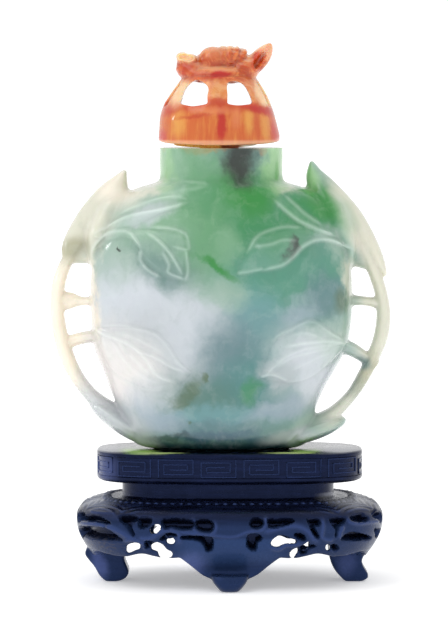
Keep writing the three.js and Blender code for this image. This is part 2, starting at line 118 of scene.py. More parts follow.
# Stations of x, z, half width, half depth and y, along the stem.
def addStem(bm, stations, sides=20, perSpan=8, at=(0, 0, 0)):
    thinnest = 0.05
    rows = smoothRun([list(row) + [0] * (5 - len(row)) for row in stations], perSpan)
    along = np.gradient(rows[:, :2], axis=0)
    along /= np.linalg.norm(along, axis=1)[:, None]
    angle = np.linspace(0, 2 * math.pi, sides, endpoint=False)
    rings = []
    for (x, z, width, depth, y), (ax, az) in zip(rows, along):
        across = max(width, thinnest) * np.cos(angle)
        through = max(depth, thinnest) * np.sin(angle)
        rings.append(np.stack([x + across * az, y + through, z - across * ax], 1) + np.array(at))
    return addRings(bm, rings)


def addEgg(bm, centre, radii, turn, at=(0, 0, 0)):  # turned about Y
    verts = bmesh.ops.create_uvsphere(bm, u_segments=28, v_segments=16, radius=1)["verts"]
    bmesh.ops.scale(bm, verts=verts, vec=radii)
    turnVerts(bm, verts, "Y", -turn)
    bmesh.ops.translate(bm, verts=verts, vec=Vector(centre) + Vector(at))
    return verts


def addSlab(bm, outline, yFront, yBack, at=(0, 0, 0)):  # an x, z outline pushed through from front to back
    verts = [bm.verts.new((x + at[0], yFront + at[1], z + at[2])) for x, z in outline]
    face = bm.faces.new(verts)
    geom = bmesh.ops.extrude_face_region(bm, geom=[face])["geom"]
    fresh = [item for item in geom if isinstance(item, bmesh.types.BMVert)]
    bmesh.ops.translate(bm, verts=fresh, vec=(0, yBack - yFront, 0))
    return verts + fresh


def turnVerts(bm, verts, axis, degrees, cent=(0, 0, 0)):
    bmesh.ops.rotate(bm, verts=verts, cent=cent, matrix=Matrix.Rotation(math.radians(degrees), 3, axis))


def makeObject(name, bm):
    bmesh.ops.remove_doubles(bm, verts=bm.verts, dist=1e-4)
    bmesh.ops.recalc_face_normals(bm, faces=bm.faces)
    bmesh.ops.scale(bm, verts=bm.verts, vec=(mm, mm, mm))
    mesh = bpy.data.meshes.new(name)
    bm.to_mesh(mesh)
    bm.free()
    obj = bpy.data.objects.new(name, mesh)
    bpy.context.scene.collection.objects.link(obj)
    return obj


def makeTool(add, *values, **named):  # one closed shape, for cutting or joining
    bm = bmesh.new()
    add(bm, *values, **named)
    return makeObject("tool", bm)


def settle(obj):  # keeps what the modifiers make and drops them
    graph = bpy.context.evaluated_depsgraph_get()
    mesh = bpy.data.meshes.new_from_object(obj.evaluated_get(graph))
    obj.modifiers.clear()
    old = obj.data
    obj.data = mesh
    bpy.data.meshes.remove(old)


def carve(obj, tools):  # cuts the tools out, one after another
    for tool in tools:
        mod = obj.modifiers.new("carve", "BOOLEAN")
        mod.operation = "DIFFERENCE"
        mod.solver = "EXACT"
        mod.object = tool
        settle(obj)
        bpy.data.objects.remove(tool)


def joinTo(obj, others):  # one mesh out of several that still overlap, ready for a skin
    bm = bmesh.new()
    for piece in [obj] + others:
        bm.from_mesh(piece.data)
    bm.to_mesh(obj.data)
    bm.free()
    for piece in others:
        bpy.data.objects.remove(piece)


def skin(obj, voxel, ease):  # one even skin over everything that overlaps, then softened
    mod = obj.modifiers.new("skin", "REMESH")
    mod.mode = "VOXEL"
    mod.voxel_size = voxel * mm
    soft = obj.modifiers.new("ease", "SMOOTH")
    soft.factor = 0.5
    soft.iterations = ease
    settle(obj)


def soften(obj, weights, rounds):  # more smoothing where the weights are
    group = obj.vertex_groups.new(name="soften")
    for level in range(1, 11):
        chosen = np.flatnonzero((weights > (level - 0.5) / 10) & (weights <= (level + 0.5) / 10))
        group.add(chosen.tolist(), level / 10, "REPLACE")
    mod = obj.modifiers.new("soften", "SMOOTH")
    mod.factor = 0.5
    mod.iterations = rounds
    mod.vertex_group = "soften"
    settle(obj)
    obj.vertex_groups.clear()


def thin(obj, faces):
    have = sum(len(p.vertices) - 2 for p in obj.data.polygons)
    if have > faces:
        mod = obj.modifiers.new("thin", "DECIMATE")
        mod.ratio = faces / have
        settle(obj)


def vertsOf(obj):
    co = np.empty(len(obj.data.vertices) * 3)
    obj.data.vertices.foreach_get("co", co)
    return co.reshape(-1, 3) / mm


def normalsOf(obj):
    no = np.empty(len(obj.data.vertices) * 3)
    obj.data.vertices.foreach_get("normal", no)
    return no.reshape(-1, 3)


def moveVerts(obj, co):
    obj.data.vertices.foreach_set("co", (co * mm).ravel())
    obj.data.update()


def paint(obj, red, green, blue):  # three masks that the materials read as "carving"
    layer = obj.data.attributes.new("carving", "FLOAT_COLOR", "POINT")
    rgba = np.ones((len(obj.data.vertices), 4))
    rgba[:, 0], rgba[:, 1], rgba[:, 2] = red, green, blue
    layer.data.foreach_set("color", rgba.ravel())


def finishPiece(obj, node, material):
    for polygon in obj.data.polygons:
        polygon.use_smooth = True
    obj.data.set_sharp_from_angle(angle=sharpAngle)
    obj.data.materials.clear()
    obj.data.materials.append(material)
    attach(obj, "root")
    if node:
        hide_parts(node)


def runDistance(points, run):  # how far each place is from a run, and how far along it, from 0 to 1
    best = np.full(len(points), 1e9)
    place = np.zeros(len(points))
    steps = np.linalg.norm(np.diff(run, axis=0), axis=1)
    total, done = steps.sum(), 0.0
    for a, b, step in zip(run[:-1], run[1:], steps):
        t = np.clip(((points - a) @ (b - a)) / max(step * step, 1e-9), 0, 1)
        far = np.linalg.norm(points - a - t[:, None] * (b - a), axis=1)
        near = far < best
        best[near] = far[near]
        place[near] = (done + t[near] * step) / total
        done += step
    return best, place


def insideOutline(points, outline):
    inside = np.zeros(len(points), bool)
    for (x0, z0), (x1, z1) in zip(outline, np.roll(outline, -1, axis=0)):
        crosses = (z0 > points[:, 1]) != (z1 > points[:, 1])
        if z1 != z0:
            inside ^= crosses & (points[:, 0] < (x1 - x0) * (points[:, 1] - z0) / (z1 - z0) + x0)
    return inside


def rise(value, start, end):  # 0 before the start, 1 after the end
    t = np.clip((value - start) / (end - start), 0, 1)
    return t * t * (3 - 2 * t)


def between(value, start, full, fade, end):  # rises from the start and falls again to the end
    return rise(value, start, full) * rise(-value, -end, -fade)


print("helpers ready")


# Helpers for materials.

def linear(red, green, blue):  # screen values, 0 to 255, as linear ones with a full alpha
    parts = [c / 255 for c in (red, green, blue)]
    return tuple(c / 12.92 if c <= 0.04 else ((c + 0.055) / 1.055) ** 2.4 for c in parts) + (1,)


def linearTints(tints):
    return {name: linear(*values) for name, values in tints.items()}


class Nodes:  # short ways to add nodes to one tree

    def __init__(self, tree):
        self.tree = tree

    def add(self, kind, inputs=None, **settings):
        node = self.tree.nodes.new(kind)
        for key, value in settings.items():
            setattr(node, key, value)
        for key, value in (inputs or {}).items():
            self.put(value, node.inputs[key])
        return node

    def put(self, value, socket):
        if isinstance(value, bpy.types.NodeSocket):
            self.tree.links.new(value, socket)
        else:
            socket.default_value = value

    def math(self, operation, a, b=0.0):
        return self.add("ShaderNodeMath", {0: a, 1: b}, operation=operation).outputs[0]

    def mix(self, factor, a, b):
        node = self.add("ShaderNodeMix", data_type="RGBA")
        self.put(factor, node.inputs[0])
        self.put(a, node.inputs[6])
        self.put(b, node.inputs[7])
        return node.outputs[2]

    def noise(self, vector, scale, detail=3.0, rough=0.55, output=0, distort=0.0):
        return self.add("ShaderNodeTexNoise", {"Vector": vector, "Scale": scale, "Detail": detail,
                                               "Roughness": rough, "Distortion": distort}).outputs[output]

    def ramp(self, value, low, high, start=0.0, end=1.0):
        node = self.add("ShaderNodeMapRange", {0: value, 1: low, 2: high, 3: start, 4: end},
                        interpolation_type="SMOOTHSTEP")
        return node.outputs[0]

    def vector(self, operation, a, b=(0, 0, 0)):
        return self.add("ShaderNodeVectorMath", {0: a, 1: b}, operation=operation).outputs[0]

    def masks(self):  # the three masks painted on a piece
        layer = self.add("ShaderNodeAttribute", attribute_name="carving").outputs["Color"]
        return self.add("ShaderNodeSeparateColor", {0: layer}).outputs

    def between(self, value, start, full, fade, end):  # rises from the start and falls again to the end
        return self.math("MULTIPLY", self.ramp(value, start, full), self.ramp(value, end, fade))

    def cover(self, colour, mask, strength, tint):
        return self.mix(self.math("MULTIPLY", mask, strength), colour, tint)

    def bump(self, height, strength, distance):
        inputs = {"Height": height, "Strength": strength, "Distance": distance}
        return self.add("ShaderNodeBump", inputs).outputs[0]


def newMaterial(name):
    material = bpy.data.materials.new(name)
    material.use_nodes = True
    material.node_tree.nodes.clear()
    nodes = Nodes(material.node_tree)
    shader = nodes.add("ShaderNodeBsdfPrincipled")
    out = nodes.add("ShaderNodeOutputMaterial")
    nodes.put(shader.outputs[0], out.inputs[0])
    return material, nodes, shader


def setDepth(shader, look):  # how far light goes into the piece
    shader.inputs["Subsurface Weight"].default_value = look["inside"]
    shader.inputs["Subsurface Radius"].default_value = look["reach"]
    shader.inputs["Subsurface Scale"].default_value = look["depth"]


def millimetres(nodes):
    where = nodes.add("ShaderNodeTexCoord").outputs["Object"]
    return nodes.vector("MULTIPLY", where, (1000, 1000, 1000))


# A soft cloud seen from the front: 1 at its middle, 0 outside.
def cloudGroup():
    tree = bpy.data.node_groups.new("cloud", "ShaderNodeTree")
    for name in ("Place", "Middle", "Reach"):
        tree.interface.new_socket(name, in_out="INPUT", socket_type="NodeSocketVector")
    for name in ("Turn", "Soft"):
        tree.interface.new_socket(name, in_out="INPUT", socket_type="NodeSocketFloat")
    tree.interface.new_socket("Mask", in_out="OUTPUT", socket_type="NodeSocketFloat")
    nodes = Nodes(tree)
    given = nodes.add("NodeGroupInput").outputs
    away = nodes.vector("SUBTRACT", given["Place"], given["Middle"])
    inputs = {"Vector": away, "Angle": given["Turn"]}
    turned = nodes.add("ShaderNodeVectorRotate", inputs, rotation_type="Y_AXIS").outputs[0]
    flat = nodes.vector("MULTIPLY", turned, (1, 0, 1))
    shape = nodes.vector("DIVIDE", flat, given["Reach"])
    far = nodes.add("ShaderNodeVectorMath", {0: shape}, operation="LENGTH").outputs["Value"]
    outside, inside = (nodes.math(way, 1.0, given["Soft"]) for way in ("ADD", "SUBTRACT"))
    mask = nodes.ramp(far, outside, inside)
    nodes.put(mask, nodes.add("NodeGroupOutput").inputs["Mask"])
    return tree


cloudTree = cloudGroup()


# Rows of x, z, reach x, reach z, turn, soft, strength and tint, each laid over the ones before it.
def addClouds(nodes, place, colour, clouds, tints):
    for x, z, reachX, reachZ, turn, soft, strength, tint in clouds:
        group = nodes.add("ShaderNodeGroup", node_tree=cloudTree)
        nodes.put(place, group.inputs["Place"])
        group.inputs["Middle"].default_value = (x, 0, z)
        group.inputs["Turn"].default_value = math.radians(turn)
        group.inputs["Reach"].default_value = (reachX, 1, reachZ)
        group.inputs["Soft"].default_value = soft
        colour = nodes.cover(colour, group.outputs[0], strength, tints[tint])
    return colour


def wander(nodes, place, scale, reach):  # the same place, pushed about by noise
    push = nodes.vector("SUBTRACT", nodes.noise(place, scale, 4, 0.6, output=1), (0.5, 0.5, 0.5))
    return nodes.vector("ADD", place, nodes.vector("MULTIPLY", push, (reach, 0, reach)))


# Jadeite: one stone, clouded from white to apple green and blue green, all the way through.

jadeLook = {
    "tints": {
        "base": (112, 150, 140), "snow": (226, 222, 220), "mist": (200, 206, 212), "pearl": (182, 188, 192),
        "lilac": (158, 172, 186), "bone": (242, 232, 216), "ivory": (218, 216, 200),
        "celadon": (166, 188, 174), "sage": (134, 176, 144), "apple": (104, 160, 116),
        "emerald": (44, 136, 80), "grass": (24, 136, 42), "seaGreen": (80, 146, 124),
        "sea": (106, 154, 158), "lagoon": (70, 132, 130), "slate": (90, 126, 132), "teal": (62, 116, 106),
        "indigo": (56, 92, 116), "olive": (78, 104, 72), "moss": (158, 156, 124), "ink": (14, 20, 12),
        "gold": (186, 108, 20), "fresh": (156, 200, 146), "deep": (10, 44, 46), "floss": (232, 240, 236),
        "thread": (60, 104, 88), "speck": (96, 100, 84), "paleLeaf": (214, 228, 222),
        "rim": (236, 244, 240), "groove": (60, 96, 84),
    },
    # x, z, reach x, reach z, turn, soft, strength, tint
    "clouds": [
        (-14, 50, 13, 8, 0, 0.6, 1.0, "mist"),
        (-12, 41, 15, 8, 0, 0.6, 1.0, "pearl"),
        (-19, 36, 8, 10, 12, 0.6, 1.0, "snow"),
        (-3, 45, 7, 6, 0, 0.7, 0.9, "mist"),
        (17, 39, 8, 8, 0, 0.6, 1.0, "mist"),
        (21, 46, 4, 6, 10, 0.7, 0.8, "celadon"),
        (-15, 61, 9, 5, 20, 0.7, 0.8, "celadon"),
        (-10, 57.5, 6, 3.5, -30, 0.7, 0.7, "teal"),
        (-9, 66, 8, 4, 18, 0.7, 0.9, "sage"),
        (-15, 68, 7, 3, 30, 0.6, 0.8, "celadon"),
        (-12.5, 66, 4, 1.6, 18, 0.7, 0.6, "mist"),
        (-1, 62, 6, 8, 0, 0.7, 0.9, "apple"),
        (0, 69, 6, 5, 0, 0.7, 0.8, "apple"),
        (8, 62, 7, 7, 0, 0.7, 0.9, "emerald"),
        (7, 55, 7, 5, 10, 0.7, 0.9, "seaGreen"),
        (12, 52, 8, 5, 0, 0.7, 0.9, "seaGreen"),
        (6, 47, 4, 6, -10, 0.7, 0.8, "sea"),
        (20, 56, 4, 7, 0, 0.7, 0.8, "seaGreen"),
        (19, 51, 3, 4, 0, 0.7, 0.8, "slate"),
        # painted glow: a pale band down the body's right edge, as if lit through the thin edge
        (23.5, 54, 1.8, 5, 0, 0.5, 0.7, "ivory"),
        (2, 41, 6, 6, 30, 0.7, 0.9, "slate"),
        (6, 36, 6, 5, 0, 0.7, 0.9, "lagoon"),
        (-4, 34, 7, 4, 0, 0.7, 0.8, "teal"),
        (-2, 30.5, 12, 2.4, 0, 0.6, 0.9, "sea"),
        (-2, 27.5, 11, 2.4, 0, 0.5, 0.8, "slate"),
        (0, 26.4, 8, 1.2, 0, 0.6, 0.6, "indigo"),
        (10, 31.4, 5, 2.0, 10, 0.6, 0.7, "lilac"),
        (-11.5, 30.2, 4.5, 2.6, -20, 0.7, 0.8, "lilac"),
        (-13, 34, 4, 3, 0, 0.7, 0.6, "mist"),
        (12.5, 71.8, 3.0, 1.6, 0, 0.6, 0.8, "bone"),
        (-13, 71.6, 3.4, 1.8, 10, 0.6, 0.8, "ivory"),
        # painted glow: a pale band down the body's left edge, as if lit through the thin edge
        (-23.5, 52, 1.6, 8, 0, 0.6, 0.8, "bone"),
        (22, 60.5, 3, 2, 0, 0.6, 0.7, "celadon"),
        (14.5, 66.5, 3.5, 3.5, 30, 0.6, 0.9, "emerald"),
        (13.5, 48.8, 4, 2.4, 30, 0.7, 0.7, "lilac"),
        (10.5, 38, 3, 3, 0, 0.7, 0.8, "pearl"),
        (1.6, 60.5, 2.6, 3, 0, 0.7, 0.6, "sage"),
        (1.6, 52.5, 3.4, 3, 0, 0.7, 0.6, "celadon"),
        # painted light: a golden band on the mouth's rim, standing in for light through the stopper and cork
        # above
        (-2, 77.9, 9, 0.8, 0, 0.6, 0.8, "gold"),
        (-7.5, 75, 3.5, 5, 0, 0.6, 0.9, "sage"),
        (-3, 74, 3, 6, 0, 0.7, 0.8, "apple"),
        (-2, 69, 3, 2.6, 0, 0.7, 0.4, "emerald"),
        (9.6, 75, 2.2, 5, 0, 0.6, 0.9, "fresh"),
        (5, 70, 5, 4, 0, 0.7, 0.9, "grass"),
        (3.2, 75.2, 2.8, 3.6, -10, 0.6, 0.95, "ink"),
        (18, 68.5, 4.5, 6.5, 40, 0.5, 0.95, "emerald"),
        (17.4, 68.4, 2.6, 4.0, 40, 0.7, 0.6, "grass"),
        (-0.6, 57.2, 3.6, 0.9, -28, 0.6, 0.85, "grass"),
        (5.4, 35.0, 1.5, 2.0, 0, 0.7, 0.7, "emerald"),
        (-6.4, 35.0, 3.4, 1.4, 48, 0.7, 0.7, "olive"),
        (-3.0, 38.4, 0.7, 0.9, 20, 0.6, 0.8, "olive"),
        (12.4, 60.4, 0.7, 1.9, -8, 0.6, 0.9, "ink"),
        (-17.6, 60.0, 0.4, 0.4, 0, 0.5, 0.8, "ink"),
        (-5.7, 29.5, 0.6, 0.5, 0, 0.6, 0.6, "olive"),
        # painted shade: dark teal low on the left of the body, beside the plate
        (-10, 26.2, 4.5, 0.8, 0, 0.6, 0.6, "deep"),
        (19.4, 61.6, 3.0, 1.6, 0, 0.7, 0.6, "celadon"),
        (-10.0, 74.6, 1.6, 4.6, 0, 0.7, 0.6, "fresh"),
    ],
    # the vines painted pale cream: partly their own paler stone, partly a painted glow of light through the
    # thin stone
    "vine": [
        (-30, 46, 5.5, 19, 0, 0.3, 1.0, "bone"),
        (30, 45, 5.5, 19, 0, 0.3, 0.95, "ivory"),
        (-26, 66, 6.5, 9, -32, 0.4, 0.95, "ivory"),
        (26.0, 62.5, 3.0, 13, 28, 0.4, 0.95, "ivory"),
        (22.0, 66.0, 1.8, 3.4, 30, 0.7, 0.5, "sage"),
        (-19, 28.5, 7.5, 4, -35, 0.5, 0.85, "pearl"),
        (16.5, 28.2, 5.0, 2.2, 24, 0.5, 0.8, "celadon"),
        (21.4, 31.6, 4.0, 2.2, 40, 0.6, 0.8, "ivory"),
        (17, 74.4, 2.4, 3.2, 0, 0.6, 0.7, "celadon"),
        (15.8, 72.4, 1.6, 2.6, 20, 0.6, 0.9, "fresh"),
        (18.4, 67.6, 1.9, 3.4, 35, 0.6, 0.7, "grass"),
        (-18.5, 71.5, 4.5, 3.5, -32, 0.5, 0.8, "bone"),
        (26, 37, 1.8, 4, -30, 0.6, 0.6, "moss"),
        (-26.6, 59.8, 3.0, 1.8, 20, 0.7, 0.7, "moss"),
        (25.6, 39.4, 1.5, 1.1, -35, 0.6, 0.7, "slate"),
        (21.4, 50.8, 1.0, 2.2, 0, 0.6, 0.7, "olive"),
        (12.6, 26.7, 4.6, 1.2, 8, 0.6, 0.7, "pearl"),
    ],
    # the shadow on the foot: the heights where it starts and is full, and how deep it is
    "shade": (27.3, 24.8, 0.95),
    "polish": (0.12, 0.22),
    "ior": 1.6,
    "inside": 0.75,
    "reach": (1.0, 1.15, 1.0),
    "depth": 0.0012,
}


def makeJade():
    material, nodes, shader = newMaterial("jadeite")
    look, tints = jadeLook, linearTints(jadeLook["tints"])
    place = millimetres(nodes)
    broad = wander(nodes, place, 0.12, 8)
    moved = wander(nodes, broad, 0.6, 1.4)
    colour = addClouds(nodes, moved, tints["base"], look["clouds"], tints)
    height = nodes.add("ShaderNodeSeparateXYZ", {0: place}).outputs[2]
    # painted shadow: the stone is mixed towards dark teal downwards over the foot
    above, below, shade = look["shade"]
    colour = nodes.mix(nodes.ramp(height, above, below, 0, shade), colour, tints["deep"])
    # the vines: partly their own paler stone, partly a painted glow of light through the thin stone
    colour = addClouds(nodes, wander(nodes, place, 0.2, 2.0), colour, look["vine"], tints)
    # cottony floss, deeper threads and a few mineral specks in the stone
    floss = nodes.ramp(nodes.noise(broad, 0.34, 6, 0.6), 0.46, 0.72, 0, 0.08)
    colour = nodes.mix(floss, colour, tints["floss"])
    tall = nodes.noise(nodes.vector("MULTIPLY", broad, (1, 1, 0.7)), 0.5, 5, 0.62)
    threads = nodes.ramp(tall, 0.5, 0.75, 0, 0.16)
    colour = nodes.mix(threads, colour, nodes.mix(0.6, colour, tints["thread"]))
    specks = nodes.ramp(nodes.noise(place, 1.9, 2, 0.5), 0.76, 0.82, 0, 0.4)
    colour = nodes.mix(specks, colour, tints["speck"])
    # painted highlight: rims and veins are thin and painted paler, as if catching the light; the leaves are
    # painted a little paler, and painted shade darkens the crease round each leaf
    ridge, leaf, groove = nodes.masks()
    colour = nodes.cover(colour, leaf, 0.08, tints["paleLeaf"])
    colour = nodes.cover(colour, ridge, 0.24, tints["rim"])
    colour = nodes.cover(colour, groove, 0.12, nodes.mix(0.6, colour, tints["groove"]))
    nodes.put(colour, shader.inputs["Base Color"])
    rough = nodes.ramp(nodes.noise(place, 0.8, 3, 0.6), 0.3, 0.75, *look["polish"])
    nodes.put(rough, shader.inputs["Roughness"])
    nodes.put(nodes.bump(nodes.noise(place, 0.9, 3, 0.5), 0.12, 0.0003), shader.inputs["Normal"])
    shader.inputs["IOR"].default_value = look["ior"]
    setDepth(shader, look)
    return material


# The bottle: a flattened body between two vines, with leaves in low relief.

bottleForm = {
    "squareness": 2.15,
    "foot": (12.0, 6.6),
    "rim": 77.8,
    "backRelief": 0.8,  # how strong the carving is on the back
    "body": [
        # z, half width, half depth, shift
        [24.1, 12.6, 7.0, 0], [24.3, 14.2, 8.0, 0], [25.1, 15.6, 9.0, -0.2], [27.6, 17.0, 10.0, -0.5],
        [31.2, 17.8, 11.0, -0.8], [34.4, 19.1, 11.9, -0.8], [37.6, 20.6, 12.4, -0.5],
        [42.0, 22.6, 12.9, -0.2],
        [47.0, 23.3, 13.2, 0], [52.0, 23.5, 13.3, 0], [57.0, 23.2, 13.15, 0], [61.5, 22.4, 12.9, 0],
        [65.2, 21.0, 12.6, 0], [68.0, 19.0, 12.25, 0], [69.7, 17.0, 12.0, 0], [70.7, 14.8, 11.75, 0],
        [71.3, 12.7, 11.45, 0], [71.8, 11.4, 11.15, 0], [72.6, 11.0, 11.0, 0], [75.4, 11.0, 11.0, 0],
        [77.1, 11.0, 11.0, 0], [79.4, 11.0, 11.0, 0],
    ],
    "hollow": [
        [29.4, 9.5, 4.4], [32.0, 13.2, 6.4], [38.0, 16.8, 8.2], [46.0, 19.0, 9.2], [54.0, 19.2, 9.3],
        [61.0, 17.0, 8.9], [66.0, 11.0, 7.4], [69.0, 6.2, 5.4], [71.5, 4.2, 4.2], [82.0, 4.2, 4.2],
    ],
    # x, z, half width, half depth
    "stems": [
        [[-25.0, 61.4, 1.3, 2.6], [-27.6, 57.6, 1.1, 2.1], [-29.1, 53.6, 1.2, 2.0], [-29.45, 49.6, 1.25, 2.0],
         [-29.0, 45.0, 1.3, 2.1], [-27.8, 40.6, 1.35, 2.2], [-26.0, 36.8, 1.25, 2.2], [-23.2, 33.2, 1.3, 2.6],
         [-19.4, 30.0, 1.9, 3.6], [-15.4, 27.8, 2.0, 4.4]],
        [[-28.4, 58.4, 1.5, 1.6], [-26.0, 58.9, 1.9, 1.8], [-23.6, 59.2, 2.1, 2.2], [-20.8, 59.6, 2.2, 2.8]],
        [[-29.0, 50.2, 1.7, 1.3], [-27.0, 50.4, 1.5, 1.3], [-25.0, 50.3, 0.8, 1.3], [-22.4, 50.3, 0.8, 1.8]],
        [[-28.6, 42.4, 1.2, 1.5], [-26.0, 43.4, 1.1, 1.5], [-23.4, 43.9, 1.1, 2.0], [-20.6, 43.6, 1.1, 2.4]],
        [[23.4, 63.4, 1.4, 2.8], [25.9, 59.0, 1.25, 2.3], [27.6, 55.0, 1.15, 2.0], [28.75, 51.2, 1.15, 2.0],
         [29.1, 47.6, 1.3, 2.0], [28.6, 43.8, 1.3, 2.1], [27.2, 40.2, 1.2, 2.2], [25.4, 36.6, 1.15, 2.2],
         [23.2, 33.2, 1.05, 2.2], [19.8, 29.9, 1.3, 3.0], [15.6, 27.6, 1.8, 4.2]],
        [[28.4, 57.3, 1.4, 1.6], [26.2, 58.0, 2.1, 1.8], [23.8, 59.6, 3.4, 2.4], [20.8, 60.4, 3.6, 3.0]],
        [[29.0, 49.6, 1.0, 1.4], [26.6, 50.2, 0.85, 1.4], [24.6, 50.4, 0.9, 1.6], [22.2, 50.6, 1.1, 2.0]],
        [[27.8, 38.6, 1.1, 1.6], [25.4, 40.4, 1.1, 1.7], [23.0, 41.8, 1.3, 2.1], [20.4, 42.4, 1.4, 2.6]],
    ],
    "wings": [
        [[-27.4, 58.0, 1.3, 2.2], [-26.4, 60.4, 2.1, 2.5], [-23.9, 63.9, 2.7, 2.8], [-20.9, 67.9, 2.8, 2.8],
         [-18.7, 70.7, 2.2, 2.4], [-17.2, 73.8, 0.3, 1.2]],
        [[29.5, 54.9, 0.3, 1.4], [28.4, 57.1, 1.0, 2.0], [26.8, 59.8, 1.6, 2.4], [24.5, 63.1, 2.2, 2.7],
         [21.9, 66.5, 2.5, 2.8], [18.8, 69.7, 2.6, 2.8], [16.9, 72.4, 1.9, 2.4], [16.1, 75.4, 0.3, 1.2]],
    ],
    # stone left between each wing and the body
    "webs": [
        [[-17.4, 70.6, 1.0, 2.6], [-18.6, 69.0, 1.8, 4.2], [-20.4, 66.2, 2.4, 5.6], [-22.0, 62.8, 2.2, 6.2],
         [-22.8, 60.0, 1.3, 5.4], [-23.0, 57.0, 0.6, 4.0]],
        [[17.0, 71.4, 1.0, 2.8], [18.4, 69.4, 1.9, 4.4], [20.0, 66.8, 2.5, 5.8], [21.6, 63.6, 2.4, 6.6],
         [23.0, 60.4, 1.4, 5.8], [23.2, 57.2, 0.6, 4.2]],
    ],
    "baseLeaves": [
        ((16.4, 0, 27.0), (6.4, 6.4, 1.7), 19),
        ((-18.2, 0, 28.6), (6.6, 5.2, 1.9), -35),
    ],
    "voxel": 0.24,
    "ease": 7,
    "blend": 100,
    "faces": 172000,
}

# Leaves on the body: outlines that stand out, then rims and veins.
leafShapes = [
    [
        [[-22.6, 62.0], [-17.6, 65.6], [-11.6, 67.2], [-5.8, 68.4]],
        [[-5.8, 68.4], [-10.8, 66.4], [-15.6, 64.0], [-19.6, 61.6], [-22.6, 62.0]],
    ],
    [
        [[-23.0, 59.4], [-19.0, 62.9], [-13.0, 63.4], [-6.8, 63.2]],
        [[-6.8, 63.2], [-5.8, 60.0], [-6.3, 57.0], [-6.4, 54.4]],
        [[-6.4, 54.4], [-10.4, 55.4], [-13.9, 58.2], [-14.9, 61.2], [-18.0, 62.0], [-23.0, 59.4]],
    ],
    [
        [[20.4, 62.6], [16.6, 62.2], [13.6, 64.6], [9.2, 68.6]],
        [[9.2, 68.6], [10.9, 69.4], [14.8, 66.4], [20.4, 62.6]],
    ],
    [
        [[22.9, 60.0], [17.2, 61.6], [13.2, 58.9], [9.6, 56.8], [2.9, 55.8]],
        [[2.9, 55.8], [4.3, 59.2], [6.2, 62.2], [11.2, 63.8], [17.0, 63.6], [22.9, 60.0]],
    ],
    [
        [[-22.8, 45.6], [-16.4, 46.2], [-11.9, 45.3], [-9.6, 43.3], [-7.6, 40.4], [-5.3, 38.4]],
        [[-5.3, 38.4], [-6.6, 37.0], [-8.0, 36.3], [-12.3, 35.4], [-17.0, 36.9], [-20.2, 39.4],
         [-22.8, 45.6]],
    ],
    [
        [[23.0, 43.0], [19.1, 45.4], [15.8, 47.4], [12.4, 46.1], [9.4, 43.6], [8.2, 41.0], [6.9, 37.5]],
        [[6.9, 37.5], [11.3, 36.4], [15.2, 37.0], [18.6, 39.2], [23.0, 43.0]],
    ],
]
